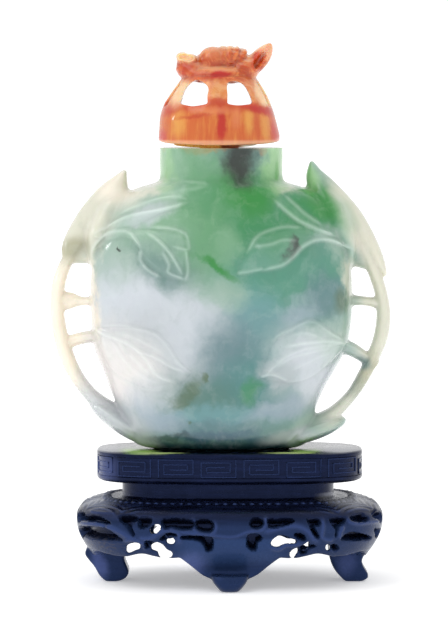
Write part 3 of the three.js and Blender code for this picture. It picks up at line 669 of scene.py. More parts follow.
leafLines = [
    # height, width, run of x, z
    (0.28, 0.36, [[-22.6, 62.6], [-19.6, 64.2], [-16.0, 65.9], [-9.3, 67.3], [-5.8, 68.4]]),
    (0.18, 0.34, [[-18.0, 66.2], [-14.8, 67.6], [-10.6, 69.0], [-7.1, 69.2], [-5.9, 68.6]]),
    (0.30, 0.36, [[-23.4, 58.9], [-21.8, 61.4], [-19.4, 62.9], [-16.5, 63.1], [-15.2, 61.9], [-14.0, 60.1]]),
    (0.28, 0.34, [[-14.0, 60.1], [-14.2, 58.2], [-12.8, 56.4], [-10.6, 55.2]]),
    (0.26, 0.32, [[-13.3, 63.0], [-11.6, 62.1], [-9.6, 60.2], [-8.2, 58.2], [-6.8, 55.7]]),
    (0.22, 0.30, [[-10.3, 59.8], [-9.2, 57.5], [-9.2, 56.0], [-6.4, 54.8]]),
    (0.22, 0.30, [[-12.4, 63.9], [-8.8, 63.7], [-6.4, 62.9], [-5.8, 61.2], [-6.0, 60.1], [-8.6, 60.7]]),
    (0.24, 0.32, [[-6.2, 60.2], [-6.0, 58.4], [-5.9, 56.2], [-6.4, 54.4]]),
    (0.32, 0.38, [[9.2, 68.8], [11.2, 67.0], [13.6, 65.1], [16.3, 63.8], [20.4, 62.2]]),
    (0.26, 0.34, [[10.9, 69.7], [12.6, 68.2], [14.9, 66.1], [17.8, 64.2]]),
    (0.32, 0.38, [[24.2, 59.4], [21.0, 60.9], [18.8, 61.6], [16.6, 61.6], [14.3, 60.5], [12.8, 58.9],
                  [10.9, 57.4], [8.7, 56.8], [6.7, 56.3]]),
    (0.24, 0.34, [[7.6, 56.8], [5.2, 56.3], [2.6, 55.9]]),
    (0.24, 0.34, [[14.6, 63.8], [11.0, 64.0], [7.6, 63.1], [6.0, 62.0], [5.3, 60.9], [4.3, 59.3]]),
    (0.20, 0.32, [[5.6, 60.6], [8.7, 61.0], [10.8, 61.7], [13.4, 61.6]]),
    (0.20, 0.40, [[-23.4, 46.2], [-20.6, 44.7], [-16.3, 43.3], [-13.1, 40.5], [-11.2, 37.8], [-8.0, 36.4]]),
    (0.16, 0.38, [[-21.6, 46.2], [-17.0, 46.4], [-11.9, 45.3], [-9.6, 43.3], [-7.6, 40.2], [-5.3, 38.4]]),
    (0.15, 0.36, [[-15.4, 42.6], [-13.5, 41.7], [-11.2, 40.9], [-8.8, 39.4], [-6.4, 38.6]]),
    (0.13, 0.36, [[-20.2, 39.0], [-17.0, 36.6], [-12.3, 35.2], [-7.6, 36.2]]),
    (0.11, 0.34, [[-19.6, 44.0], [-17.2, 40.4], [-14.2, 37.6], [-11.6, 36.6]]),
    (0.11, 0.34, [[-18.4, 43.8], [-15.0, 40.2], [-12.6, 38.0]]),
    (0.10, 0.32, [[-17.6, 45.2], [-13.4, 43.6], [-10.2, 41.6]]),
    (0.24, 0.40, [[27.0, 39.8], [25.0, 41.3], [22.3, 42.9], [19.1, 43.6], [15.2, 43.5], [12.4, 43.1],
                  [10.9, 42.9]]),
    (0.18, 0.36, [[20.7, 43.0], [15.2, 42.5], [11.7, 41.3], [9.3, 39.4], [7.7, 37.8]]),
    (0.20, 0.38, [[22.3, 43.3], [19.1, 45.3], [16.0, 47.4], [12.4, 46.1], [10.1, 44.9], [8.9, 43.8]]),
    (0.17, 0.36, [[6.9, 37.6], [9.3, 37.9], [11.7, 36.6]]),
    (0.15, 0.34, [[9.3, 39.0], [12.4, 40.9], [16.0, 41.8], [19.4, 42.4]]),
    (0.13, 0.36, [[20.7, 41.7], [18.3, 39.0], [15.2, 37.0], [11.3, 36.4]]),
    (0.11, 0.32, [[19.6, 41.8], [15.6, 40.2], [12.2, 38.6]]),
    (0.11, 0.32, [[18.4, 43.8], [15.2, 45.2], [12.2, 45.0]]),
    (0.13, 0.40, [[-22.6, 32.0], [-18.6, 29.2], [-14.8, 27.0]]),
    (0.11, 0.36, [[-21.0, 29.2], [-18.0, 27.6], [-15.6, 26.2]]),
    (0.15, 0.40, [[21.8, 30.2], [17.8, 28.6], [13.6, 27.0], [11.2, 25.2]]),
    (0.13, 0.36, [[21.4, 28.0], [17.4, 26.9], [13.6, 25.6]]),
]


def leafRelief(flat):  # how far the carving stands out at each x, z place, and its masks
    lift, ridge, leaf, groove = np.zeros((4, len(flat)))
    for edges in leafShapes:
        shape = closedRun(edges)
        far, _ = runDistance(flat, np.vstack([shape, shape[:1]]))
        inside = insideOutline(flat, shape)
        leaf = np.maximum(leaf, np.where(inside, rise(far, 0, 0.8), 0))
        lift = np.maximum(lift, np.where(inside, 0.2 * rise(far, -0.1, 1.2), 0))
        groove = np.maximum(groove, np.where(inside, 0, np.exp(-(far / 0.5) ** 2)))
    for height, width, stations in leafLines:
        far, place = runDistance(flat, smoothRun(stations, 6))
        taper = np.minimum(1, np.minimum(place, 1 - place) / 0.12 + 0.15)
        bump = np.exp(-(far / (width * (0.6 + 0.4 * taper))) ** 2) * taper
        ridge = np.maximum(ridge, bump * height / 0.3)
        lift = lift + height * bump
    return lift - 0.05 * groove, np.clip(ridge, 0, 1), leaf, groove


def makeBottle(material):
    form = bottleForm
    at = (bottleX, 0, 0)
    width, depth = form["foot"]
    foot = [[23.0, width - 0.4, depth - 0.4], [23.4, width, depth], [25.6, width, depth]]
    bm = bmesh.new()
    addOvals(bm, form["body"], form["squareness"], 160, 6, at)
    addOvals(bm, foot, form["squareness"], 96, 1, at)
    for run in form["stems"] + form["wings"] + form["webs"]:
        addStem(bm, run, at=at)
    for centre, radii, turn in form["baseLeaves"]:
        addEgg(bm, centre, radii, turn, at)
    obj = makeObject("jade_bottle", bm)
    skin(obj, form["voxel"], form["ease"])
    # the wings run softly into the body
    co = vertsOf(obj)
    side = np.abs(co[:, 0] - bottleX)
    soften(obj, between(side, 14, 17, 23, 25.5) * between(co[:, 2], 54, 58, 71, 74), form["blend"])
    co, no = vertsOf(obj), normalsOf(obj)
    flat = co[:, [0, 2]] - np.array([bottleX, 0])
    lift = leafRelief(flat)[0]
    facing = rise(np.abs(no[:, 1]), 0.12, 0.4) * rise(22.9 - np.abs(flat[:, 0]), -0.8, 0.6)
    weaker = np.where(no[:, 1] > 0, form["backRelief"], 1.0)
    moveVerts(obj, co + no * (lift * facing * weaker)[:, None])
    thin(obj, form["faces"])
    above = [[-14, form["rim"]], [14, form["rim"]], [14, 84], [-14, 84]]
    carve(obj, [makeTool(addOvals, form["hollow"], 2, 64, 4, at), makeTool(addSlab, above, -14, 14, at)])
    # masks for the painted highlight on rims and veins, for the leaves, and for the painted shade in the
    # crease round each leaf
    co, no = vertsOf(obj), normalsOf(obj)
    _, ridge, leaf, groove = leafRelief(co[:, [0, 2]] - np.array([bottleX, 0]))
    near = rise(np.abs(no[:, 1]), 0.1, 0.35)
    paint(obj, ridge * near, leaf * near, groove * near)
    finishPiece(obj, "bottle", material)
    print("bottle", len(obj.data.polygons))


makeBottle(makeJade())


# Carnelian: orange red with faint amber threads that run up the dome.

carnelianLook = {
    "tints": {
        "dome": (204, 104, 40), "amber": (222, 152, 66), "crown": (184, 72, 16), "crownPale": (216, 130, 66),
        "ember": (188, 30, 10), "rust": (192, 64, 24), "rose": (196, 56, 50), "honey": (228, 176, 84),
        "apricot": (224, 146, 94), "cream": (246, 216, 172), "edge": (244, 206, 168),
    },
    # x, z, reach x, reach z, turn, soft, strength, tint
    "clouds": [
        (0.2, 82.0, 0.8, 3.2, 0, 0.5, 0.95, "ember"),
        (9.9, 80.6, 1.0, 2.2, 10, 0.7, 0.8, "rose"),
        (-10.4, 79.8, 0.8, 1.2, -10, 0.7, 0.8, "rose"),
        (5.0, 82.8, 0.8, 2.4, 0, 0.7, 0.6, "honey"),
        (-7.4, 82.0, 1.1, 2.4, -8, 0.7, 0.6, "honey"),
        (7.9, 81.6, 0.7, 2.6, 6, 0.7, 0.5, "honey"),
        (2.8, 83.2, 0.8, 1.6, 0, 0.7, 0.5, "apricot"),
        (-1.6, 84.4, 3.2, 0.7, 0, 0.7, 0.6, "apricot"),
        (-4.6, 83.4, 2.8, 0.3, 8, 0.7, 0.7, "rust"),
        (6.8, 84.6, 3.2, 0.7, -14, 0.7, 0.95, "ember"),
        (-8.6, 84.6, 2.0, 0.7, 30, 0.7, 0.8, "rust"),
        (-0.4, 86.0, 1.8, 0.6, 0, 0.7, 0.8, "rust"),
        (-7.0, 87.4, 1.3, 2.4, -32, 0.6, 0.75, "cream"),
        (7.4, 87.6, 1.1, 2.0, 32, 0.6, 0.7, "cream"),
        (8.4, 86.0, 1.2, 0.7, 0, 0.7, 0.8, "cream"),
        (-0.4, 88.0, 1.7, 0.9, 0, 0.7, 0.25, "honey"),
        (-0.2, 90.8, 2.2, 0.7, 4, 0.5, 1.0, "ember"),
        (-1.6, 91.9, 3.0, 0.35, -8, 0.7, 0.8, "apricot"),
        (-4.2, 90.6, 1.6, 0.8, 20, 0.7, 0.6, "rust"),
        (-5.8, 92.0, 2.2, 1.2, 20, 0.7, 0.6, "rust"),
        (7.0, 94.4, 2.2, 1.1, 54, 0.6, 0.9, "rust"),
        (-6.2, 94.0, 1.8, 0.9, -4, 0.6, 1.0, "cream"),
        (-1.4, 94.8, 2.2, 1.2, 0, 0.7, 0.5, "apricot"),
        (1.8, 96.0, 2.4, 0.5, 0, 0.7, 0.5, "cream"),
        (7.6, 96.4, 2.6, 0.5, 40, 0.7, 0.8, "cream"),
        (4.9, 93.9, 0.5, 1.8, 10, 0.7, 0.6, "apricot"),
    ],
    # heights of the red lip under the windows, of the pale struts and of the darker crown
    "lip": (83.8, 84.8, 85.4, 86.4),
    "struts": (85.4, 87.4, 88.6, 90.6),
    "crownFrom": (89.2, 90.6),
    "polish": (0.08, 0.18),
    "ior": 1.54,
    "inside": 0.9,
    "reach": (1.0, 0.55, 0.3),
    "depth": 0.0016,
}


def makeCarnelian():
    material, nodes, shader = newMaterial("carnelian")
    look, tints = carnelianLook, linearTints(carnelianLook["tints"])
    place = millimetres(nodes)
    height = nodes.add("ShaderNodeSeparateXYZ", {0: place}).outputs[2]
    threads = nodes.noise(nodes.vector("MULTIPLY", place, (1.3, 1.3, 0.1)), 1.0, 4, 0.62, distort=0.4)
    broad = nodes.noise(nodes.vector("MULTIPLY", place, (0.42, 0.42, 0.12)), 1.0, 2, 0.5)
    body = nodes.mix(nodes.ramp(threads, 0.4, 0.74, 0, 0.5), tints["dome"], tints["amber"])
    body = nodes.mix(nodes.ramp(broad, 0.45, 0.7, 0, 0.35), body, tints["rust"])
    colour = nodes.cover(body, nodes.between(height, *look["lip"]), 0.6, tints["rust"])
    veins = nodes.noise(place, 0.5, 5, 0.62, distort=0.8)
    moved = nodes.add("ShaderNodeSeparateXYZ", {0: wander(nodes, place, 0.5, 2.4)}).outputs[2]
    struts = nodes.between(moved, *look["struts"])
    colour = nodes.cover(colour, struts, nodes.ramp(veins, 0.35, 0.6, 0.1, 0.4), tints["cream"])
    crown = nodes.mix(nodes.ramp(veins, 0.42, 0.66), tints["crown"], tints["crownPale"])
    colour = nodes.mix(nodes.ramp(height, *look["crownFrom"]), colour, crown)
    colour = addClouds(nodes, wander(nodes, place, 0.7, 1.0), colour, look["clouds"], tints)
    # painted light: the carnelian is painted paler where it faces up, along its bottom edge and at the leaf's
    # thin tip
    rim, thinGlow, _ = nodes.masks()
    colour = nodes.cover(colour, rim, 0.4, tints["edge"])
    colour = nodes.cover(colour, thinGlow, 0.6, tints["edge"])
    nodes.put(colour, shader.inputs["Base Color"])
    rough = nodes.ramp(nodes.noise(place, 1.2, 3, 0.6), 0.3, 0.75, *look["polish"])
    nodes.put(rough, shader.inputs["Roughness"])
    nodes.put(nodes.bump(nodes.noise(place, 1.0, 3, 0.5), 0.15, 0.0003), shader.inputs["Normal"])
    shader.inputs["IOR"].default_value = look["ior"]
    setDepth(shader, look)
    return material


# The stopper, made upright and then leant forward over the mouth.

stopperForm = {
    "lean": 3.8,
    "tall": 17.4,
    "endWindows": 0.42,  # how wide the end windows are, beside the front ones
    "dome": [
        # z, half width, half depth, shift
        [0.0, 10.6, 10.6, 0], [0.1, 10.8, 10.8, 0], [0.3, 10.86, 10.86, 0], [1.2, 10.82, 10.82, 0],
        [2.4, 10.62, 10.62, -0.1], [4.0, 10.36, 10.36, -0.25], [5.4, 9.98, 9.98, -0.3], [6.6, 9.5, 9.5, -0.3],
        [7.5, 9.05, 9.05, -0.2], [8.7, 8.35, 8.35, -0.1], [10.8, 6.95, 6.95, 0], [11.8, 6.1, 6.1, 0],
    ],
    "windows": [
        [
            [[-6.9, 6.6], [-4.6, 6.2], [-2.0, 6.6]],
            [[-2.0, 6.6], [-2.05, 8.0], [-1.85, 9.3], [-2.5, 10.2], [-3.9, 10.8], [-5.2, 10.1], [-6.1, 8.9],
             [-6.9, 6.6]],
        ],
        [
            [[1.45, 6.6], [3.4, 6.35], [5.9, 6.6]],
            [[5.9, 6.6], [5.4, 8.2], [4.4, 9.9], [3.3, 10.5], [1.8, 10.5], [1.4, 9.6], [1.5, 8.2],
             [1.45, 6.6]],
        ],
    ],
    "crown": [
        # centre, radii, turn
        ((0.0, 0, 12.0), (7.0, 5.2, 1.9), 0),
        ((-4.4, -0.4, 12.6), (3.0, 3.0, 1.8), 0),
        ((4.2, -0.6, 12.8), (3.4, 3.2, 2.1), 20),
        ((-1.1, -0.6, 14.3), (2.7, 2.9, 2.6), 0),
        ((-1.9, -0.5, 14.6), (1.7, 2.6, 2.2), -14),
        ((0.7, -0.5, 14.8), (1.3, 2.7, 2.25), 0),
        ((1.7, -0.7, 14.7), (0.9, 2.6, 2.4), -6),
        ((2.7, -0.5, 14.9), (0.85, 2.6, 2.2), -18),
        ((3.7, -0.3, 14.6), (0.85, 2.6, 2.2), -30),
        ((4.6, -0.2, 13.8), (0.9, 2.5, 2.2), -44),
        ((2.2, 0.2, 16.2), (0.6, 0.8, 0.9), 12),
        ((3.9, 0.1, 15.9), (0.5, 0.8, 0.8), -30),
        ((-5.9, 0, 13.1), (1.8, 2.6, 2.0), 0),
        ((-6.5, -0.2, 14.9), (1.2, 2.4, 0.95), 0),
        ((-5.1, -0.2, 14.7), (1.5, 2.4, 0.9), -12),
        ((-2.2, 2.0, 13.6), (2.4, 2.2, 2.2), 0),
        ((-0.6, -3.4, 12.5), (3.2, 1.2, 0.7), -6),
        ((1.6, 3.2, 13.2), (3.4, 2.4, 1.8), 0),
    ],
    "scoops": [
        ((-5.9, -2.2, 15.1), (1.5, 1.5, 0.65), -6),
        ((7.4, -2.1, 14.8), (2.5, 1.3, 0.75), 54),
    ],
    "wing": [[3.6, 11.4, 0.9, 2.2], [5.2, 12.6, 1.5, 2.4], [6.8, 14.2, 1.7, 2.0], [8.1, 15.7, 1.45, 1.6],
             [8.9, 16.9, 0.8, 1.0], [9.15, 17.5, 0.2, 0.5]],
    "lines": 0.05,
    "voxel": 0.17,
    "ease": 4,
    "faces": 110000,
}


def makeStopper(material):
    form = stopperForm
    middle = 0.5 * (stopperLow[0] + stopperHigh[0]) / mm
    at = Vector((middle, 0, stopperHigh[2] / mm - form["tall"]))

    def upright(add, *values):  # made at the stopper's own base, then leant and placed
        bm = bmesh.new()
        add(bm, *values)
        turnVerts(bm, bm.verts, "X", form["lean"])
        bmesh.ops.translate(bm, verts=bm.verts, vec=at)
        return makeObject("tool", bm)

    def window(bm, edges, atEnd):
        verts = addSlab(bm, closedRun(edges) * [form["endWindows"] if atEnd else 1, 1], -14, 14)
        turnVerts(bm, verts, *(("Z", 90) if atEnd else ("X", -form["lean"])))

    def crown(bm):
        for row in form["crown"]:
            addEgg(bm, *row)
        addStem(bm, form["wing"])

    obj = upright(addOvals, form["dome"], 2, 96, 4)
    obj.name = "carnelian_stopper"
    carve(obj, [upright(window, edges, atEnd) for edges in form["windows"] for atEnd in (False, True)])
    top = upright(crown)
    skin(top, form["voxel"], 3)
    carve(top, [upright(addEgg, *row) for row in form["scoops"]])
    joinTo(obj, [top])
    skin(obj, form["voxel"], form["ease"])
    co, no = vertsOf(obj), normalsOf(obj)
    x, _, z = (co - np.array(at)).T
    # fine lines over the petals beside the fruit, and round the curled leaf
    petals = rise(z, 12.2, 13.0) * between(x, 1.8, 2.4, 5.2, 5.8)
    curl = rise(z, 11.6, 12.4) * rise(-x, 3.6, 4.6)
    lines = petals * np.sin(z * 7 + x * 2) + curl * np.sin((z - 0.35 * x) * 4.6)
    moveVerts(obj, co + no * form["lines"] * lines[:, None])
    thin(obj, form["faces"])
    # masks for painted light: the pale rims, which are the crown's upward faces and the bottom edge, painted
    # as if lit, and the thin tip of the leaf, painted as if lit through
    co, no = vertsOf(obj), normalsOf(obj)
    x, _, z = (co - np.array(at)).T
    up = rise(no[:, 2], 0.5, 0.98) * rise(z, 11.0, 13.5)
    tips = rise(x + 0.9 * (z - 13), 8.6, 11.4) * rise(z, 12.0, 13.0)
    low = rise(-z, -0.4, 0.1)
    paint(obj, np.clip(up + low, 0, 1), tips, 0)
    finishPiece(obj, "stopper", material)
    print("stopper", len(obj.data.polygons))


# Cork: golden, with one dark red patch, one end painted pale as the backdrop's light, and a painted glow.

corkLook = {
    "tints": {
        "gold": (252, 194, 84), "tan": (224, 140, 56), "darkRed": (120, 36, 16), "backdropLight": (250, 240, 218),
        "pit": (92, 48, 22),
    },
    # x, z, reach x, reach z, turn, soft, strength, tint
    "clouds": [
        (1.8, 78.4, 1.9, 1.8, 0, 0.3, 0.9, "darkRed"),
        # painted light: the pale end, where the white backdrop shows past the collar
        (6.2, 78.4, 2.4, 1.8, 0, 0.3, 0.95, "backdropLight"),
    ],
    # how strongly the cork's painted glow lights it
    "glow": 0.25,
    "rough": 0.6,
    "inside": 0.5,
    "reach": (1.0, 0.6, 0.3),
    "depth": 0.002,
}


def makeCork():
    material, nodes, shader = newMaterial("cork")
    look, tints = corkLook, linearTints(corkLook["tints"])
    place = millimetres(nodes)
    grain = nodes.noise(place, 2.2, 4, 0.65)
    colour = nodes.mix(nodes.ramp(grain, 0.4, 0.65), tints["gold"], tints["tan"])
    colour = addClouds(nodes, place, colour, look["clouds"], tints)
    pits = nodes.ramp(nodes.noise(place, 4.0, 2, 0.5), 0.66, 0.72, 0, 0.6)
    colour = nodes.mix(pits, colour, tints["pit"])
    nodes.put(colour, shader.inputs["Base Color"])
    # painted glow: the cork lights itself, standing in for light that comes through the stopper above
    nodes.put(colour, shader.inputs["Emission Color"])
    shader.inputs["Emission Strength"].default_value = look["glow"]
    shader.inputs["Roughness"].default_value = look["rough"]
    setDepth(shader, look)
    nodes.put(nodes.bump(grain, 0.4, 0.0002), shader.inputs["Normal"])
    return material


def finishCollar(material):  # the solid's own shape is right, so only its finish changes
    collar = bpy.data.objects["cork_collar"]
    collar.data.materials.clear()
    collar.data.materials.append(material)
    print("collar")


makeStopper(makeCarnelian())
finishCollar(makeCork())


# Hardwood: almost black, waxed, with a blue cast.

woodLook = {
    "tints": {
        "dark": (5, 7, 20), "light": (14, 20, 44), "raised": (52, 68, 112), "paintedReflection": (40, 60, 98),
        "sunk": (4, 4, 10), "worn": (60, 60, 68), "paleSheen": (122, 130, 150), "sheen": (160, 162, 168),
        "green": (156, 194, 100), "yellow": (196, 220, 136), "glare": (96, 110, 168),
    },
    "gloss": (0.20, 0.29, 0.74, 1),
    "ior": 1.5,
    "shoulder": (13.6, 14.6, 16.2, 16.6),
    "top": (23.6, 23.8),
    # x, y, reach x, reach y, turn, soft, strength, tint: painted reflections on the ends of the shoulder
    "shoulderSheen": [
        (-21.6, -2, 4.0, 8, 0, 0.6, 0.6, "paleSheen"),
        (22.0, -2, 4.0, 8, 0, 0.6, 0.9, "sheen"),
    ],
    # x, z, reach x, reach z, turn, soft, strength, tint: painted highlights on the feet, the plate's left end
    # and the tongue
    "glareSpots": [
        (-21.6, 3.2, 1.2, 2.4, 20, 0.6, 0.5, "glare"),
        (-20.8, 20.8, 2.2, 2.2, 0, 0.7, 0.4, "glare"),
        (-5.6, 4.6, 2.6, 2.0, 30, 0.7, 0.4, "glare"),
        (22.6, 3.4, 1.4, 2.2, -10, 0.7, 0.3, "glare"),
    ],
    # x, y, reach x, reach y, turn, soft, strength, tint, on the top of the plate
    "glow": [
        (-20.4, 0, 3.6, 9, 0, 0.6, 0.6, "sheen"),
        (20.4, 0, 3.6, 9, 0, 0.6, 0.6, "sheen"),
        (-14.4, -4, 3.2, 6, 0, 0.4, 0.95, "green"),
        (-10.6, -9.6, 3.6, 1.2, 0, 0.6, 0.95, "yellow"),
        (15.2, -4, 2.6, 5, 0, 0.4, 0.9, "green"),
        (12.4, -9.4, 4.0, 1.2, 0, 0.6, 0.95, "yellow"),
    ],
}


def makeWood():
    material, nodes, shader = newMaterial("hardwood")
    look, tints = woodLook, linearTints(woodLook["tints"])
    place = millimetres(nodes)
    grain = nodes.noise(nodes.vector("MULTIPLY", place, (0.14, 0.8, 1.6)), 1.0, 5, 0.6, distort=0.4)
    pores = nodes.noise(nodes.vector("MULTIPLY", place, (0.5, 4.0, 7.0)), 1.0, 2, 0.5)
    colour = nodes.mix(nodes.ramp(grain, 0.38, 0.7), tints["dark"], tints["light"])
    colour = nodes.mix(nodes.ramp(pores, 0.6, 0.7, 0, 0.6), colour, tints["sunk"])
    # painted reflection: the lower apron is painted brighter, and its tongues most
    x, y, z = nodes.add("ShaderNodeSeparateXYZ", {0: place}).outputs
    fromMiddle = nodes.math("ABSOLUTE", nodes.math("SUBTRACT", x, 1.6))
    tongue = nodes.math("MULTIPLY", nodes.between(z, 2.2, 6.5, 9.2, 10.4), nodes.ramp(fromMiddle, 16.0, 6.0))
    patch = nodes.math("MAXIMUM", tongue, nodes.ramp(z, 14.0, 11.0, 0, 0.5))
    colour = nodes.cover(colour, patch, 0.9, tints["paintedReflection"])
    raised, worn, sunk = nodes.masks()
    # painted highlight: raised carving and the shoulder's lines and points are painted lighter, as if
    # catching the light
    colour = nodes.cover(colour, raised, 0.7, tints["raised"])
    # painted shade: the sunk fields are painted near black
    colour = nodes.cover(colour, sunk, 0.95, tints["sunk"])
    along = nodes.vector("MULTIPLY", wander(nodes, place, 0.4, 2.0), (0.3, 1.0, 2.6))
    streaks = nodes.ramp(nodes.noise(along, 1.0, 4, 0.7), 0.5, 0.62)
    colour = nodes.cover(colour, worn, streaks, tints["worn"])
    # painted highlights
    colour = addClouds(nodes, wander(nodes, place, 0.5, 1.2), colour, look["glareSpots"], tints)
    # painted light on the plate's top: light that comes through the stone falls on the plate beside it, and
    # painted reflections lie on the plate's ends
    fromAbove = wander(nodes, nodes.add("ShaderNodeCombineXYZ", {0: x, 2: y}).outputs[0], 0.5, 1.2)
    lit = addClouds(nodes, fromAbove, colour, look["glow"], tints)
    # painted reflections on the shoulder's ends
    shoulderSheen = addClouds(nodes, fromAbove, colour, look["shoulderSheen"], tints)
    onTop = nodes.ramp(z, *look["top"])
    colour = nodes.mix(nodes.between(z, *look["shoulder"]), colour, shoulderSheen)
    colour = nodes.mix(onTop, colour, lit)
    nodes.put(colour, shader.inputs["Base Color"])
    rough = nodes.ramp(nodes.noise(place, 0.6, 4, 0.6), 0.3, 0.7, 0.2, 0.34)
    polished = nodes.ramp(nodes.noise(place, 0.8, 3, 0.5), 0.3, 0.7, 0.06, 0.14)
    rough = nodes.add("ShaderNodeMix", {0: onTop, 2: rough, 3: polished}).outputs[0]
    nodes.put(rough, shader.inputs["Roughness"])
    height = nodes.math("ADD", nodes.math("MULTIPLY", grain, 0.6), nodes.math("MULTIPLY", pores, 0.4))
    nodes.put(nodes.bump(height, 0.2, 0.00025), shader.inputs["Normal"])
    shader.inputs["IOR"].default_value = look["ior"]
    shader.inputs["Specular Tint"].default_value = look["gloss"]
    return material


# The stand's lower part: a pierced apron on scrolled feet, carved on every side.

standForm = {
    "plate": {"width": 23.8, "depth": 11.9, "squareness": 3.0, "bandInset": 0.22},
    "plateProfile": [
        # z, inset
        [18.4, 1.2], [18.5, 0.7], [18.75, 0.2], [19.1, 0.0], [19.5, 0.0], [19.62, 0.22],
        [23.0, 0.22], [23.12, 0.0], [23.6, 0.0], [23.82, 0.12], [23.9, 0.4],
    ],
    "waist": (19.0, 9.3, -0.3),
    "apron": {"width": 27.5, "depth": 17.8, "squareness": 2.9},
    "apronInset": [
        [0.0, 3.0], [1.8, 3.3], [3.6, 3.5], [5.2, 2.8], [7.2, 1.4], [9.4, 0.35], [11.4, 0.0], [12.6, 0.12],
        [13.4, 0.6], [14.2, 1.5], [14.8, 3.2], [15.2, 5.2], [15.5, 7.6],
    ],
    "hollowInset": [[-1.0, 6.2], [3.6, 6.4], [7.2, 4.4], [11.0, 3.4], [12.4, 5.0]],
    "frontGap": [
        [[-30, -1.0], [-30, 4.6]],
        [[-30, 4.6], [-22.0, 5.2], [-18.4, 5.8]],
        [[-18.4, 5.8], [-15.6, 6.6], [-13.4, 6.2]],
        [[-13.4, 6.2], [-11.2, 5.8], [-8.8, 6.0]],
        [[-8.8, 6.0], [-7.2, 4.7], [-5.0, 2.9], [-3.4, 2.1]],
        [[-3.4, 2.1], [-2.2, 1.3]],
        [[-2.2, 1.3], [0.5, 1.2]],
        [[0.5, 1.2], [0.5, -1.0]],
        [[0.5, -1.0], [-30, -1.0]],
    ],
    "sideGap": [
        [[-22, -1.0], [-22, 5.9]],
        [[-22, 5.9], [-12, 5.9]],
        [[-12, 5.9], [-9, 6.4], [-6.2, 5.7]],
        [[-6.2, 5.7], [-4.4, 4.9]],
        [[-4.4, 4.9], [-4.4, -1.0]],
        [[-4.4, -1.0], [-22, -1.0]],
    ],
    "leftFoot": [
        [[-24.6, 7.4], [-25.6, 6.1], [-26.0, 5.0], [-25.3, 3.9], [-24.3, 2.7], [-23.4, 1.1], [-22.3, 0]],
        [[-22.3, 0], [-20.0, 0]],
        [[-20.0, 0], [-18.7, 0.6], [-18.1, 1.8], [-18.9, 4.1], [-18.6, 6.4]],
        [[-18.6, 6.4], [-24.6, 7.4]],
    ],
    "rightFoot": [
        [[17.6, 6.4], [18.0, 4.0], [18.9, 2.0], [20.7, 0]],
        [[20.7, 0], [23.8, 0]],
        [[23.8, 0], [25.0, 0.9], [24.0, 2.8], [23.8, 4.1], [25.0, 6.0], [25.0, 7.4]],
        [[25.0, 7.4], [17.6, 6.4]],
    ],
    "toe": [[0.05, 1.6, 1.6], [0.5, 2.0, 2.1], [1.2, 2.6, 2.4], [2.0, 3.1, 2.4], [2.9, 3.3, 1.9]],
    # outlines of the openings right through, x and z
    "openings": [
        [[-13.9, 11.5], [-12.9, 12.1], [-12.1, 11.9], [-12.2, 11.0], [-13.0, 10.5], [-13.9, 10.8]],
        [[-11.1, 9.3], [-10.3, 9.9], [-9.6, 9.3], [-9.9, 8.8], [-10.9, 8.9]],
        [[-18.2, 7.6], [-17.8, 8.3], [-16.4, 8.8], [-15.8, 8.7], [-15.8, 7.9], [-16.4, 7.8], [-17.8, 7.2]],
        [[-13.8, 8.3], [-12.8, 8.9], [-11.7, 8.4], [-11.1, 7.6], [-10.2, 7.1], [-10.2, 6.5], [-12.0, 6.4],
         [-12.5, 6.9], [-12.7, 7.5], [-13.6, 7.8]],
        [[7.2, 8.6], [7.4, 9.3], [8.4, 10.1], [9.5, 10.2], [10.7, 9.6], [11.8, 9.2], [11.1, 8.8], [9.5, 8.8],
         [8.4, 8.3], [7.6, 8.4]],
        [[13.7, 9.0], [14.0, 8.6], [13.4, 8.0], [12.2, 7.7], [11.7, 7.1], [11.2, 6.4], [10.4, 6.6],
         [10.6, 7.0], [11.1, 7.6], [11.9, 7.9], [13.1, 8.5]],
        [[16.9, 8.3], [17.5, 8.3], [17.5, 7.7], [16.9, 7.7]],
    ],
    "slant": 7.3,  # each opening also runs down to the back
    "footDepth": 2.9,
    "toeY": 15.05,
    "recess": {"clearance": 0.35, "floor": 23.0, "top": 25.0},
    "sinkDepth": 1.9,
    "arcs": {"count": 18, "pitch": 0.62, "lift": 0.07},
    "beads": {"count": 84, "lift": 0.3},
    "voxel": 0.24,
    "ease": 3,
    "faces": 165000,
}

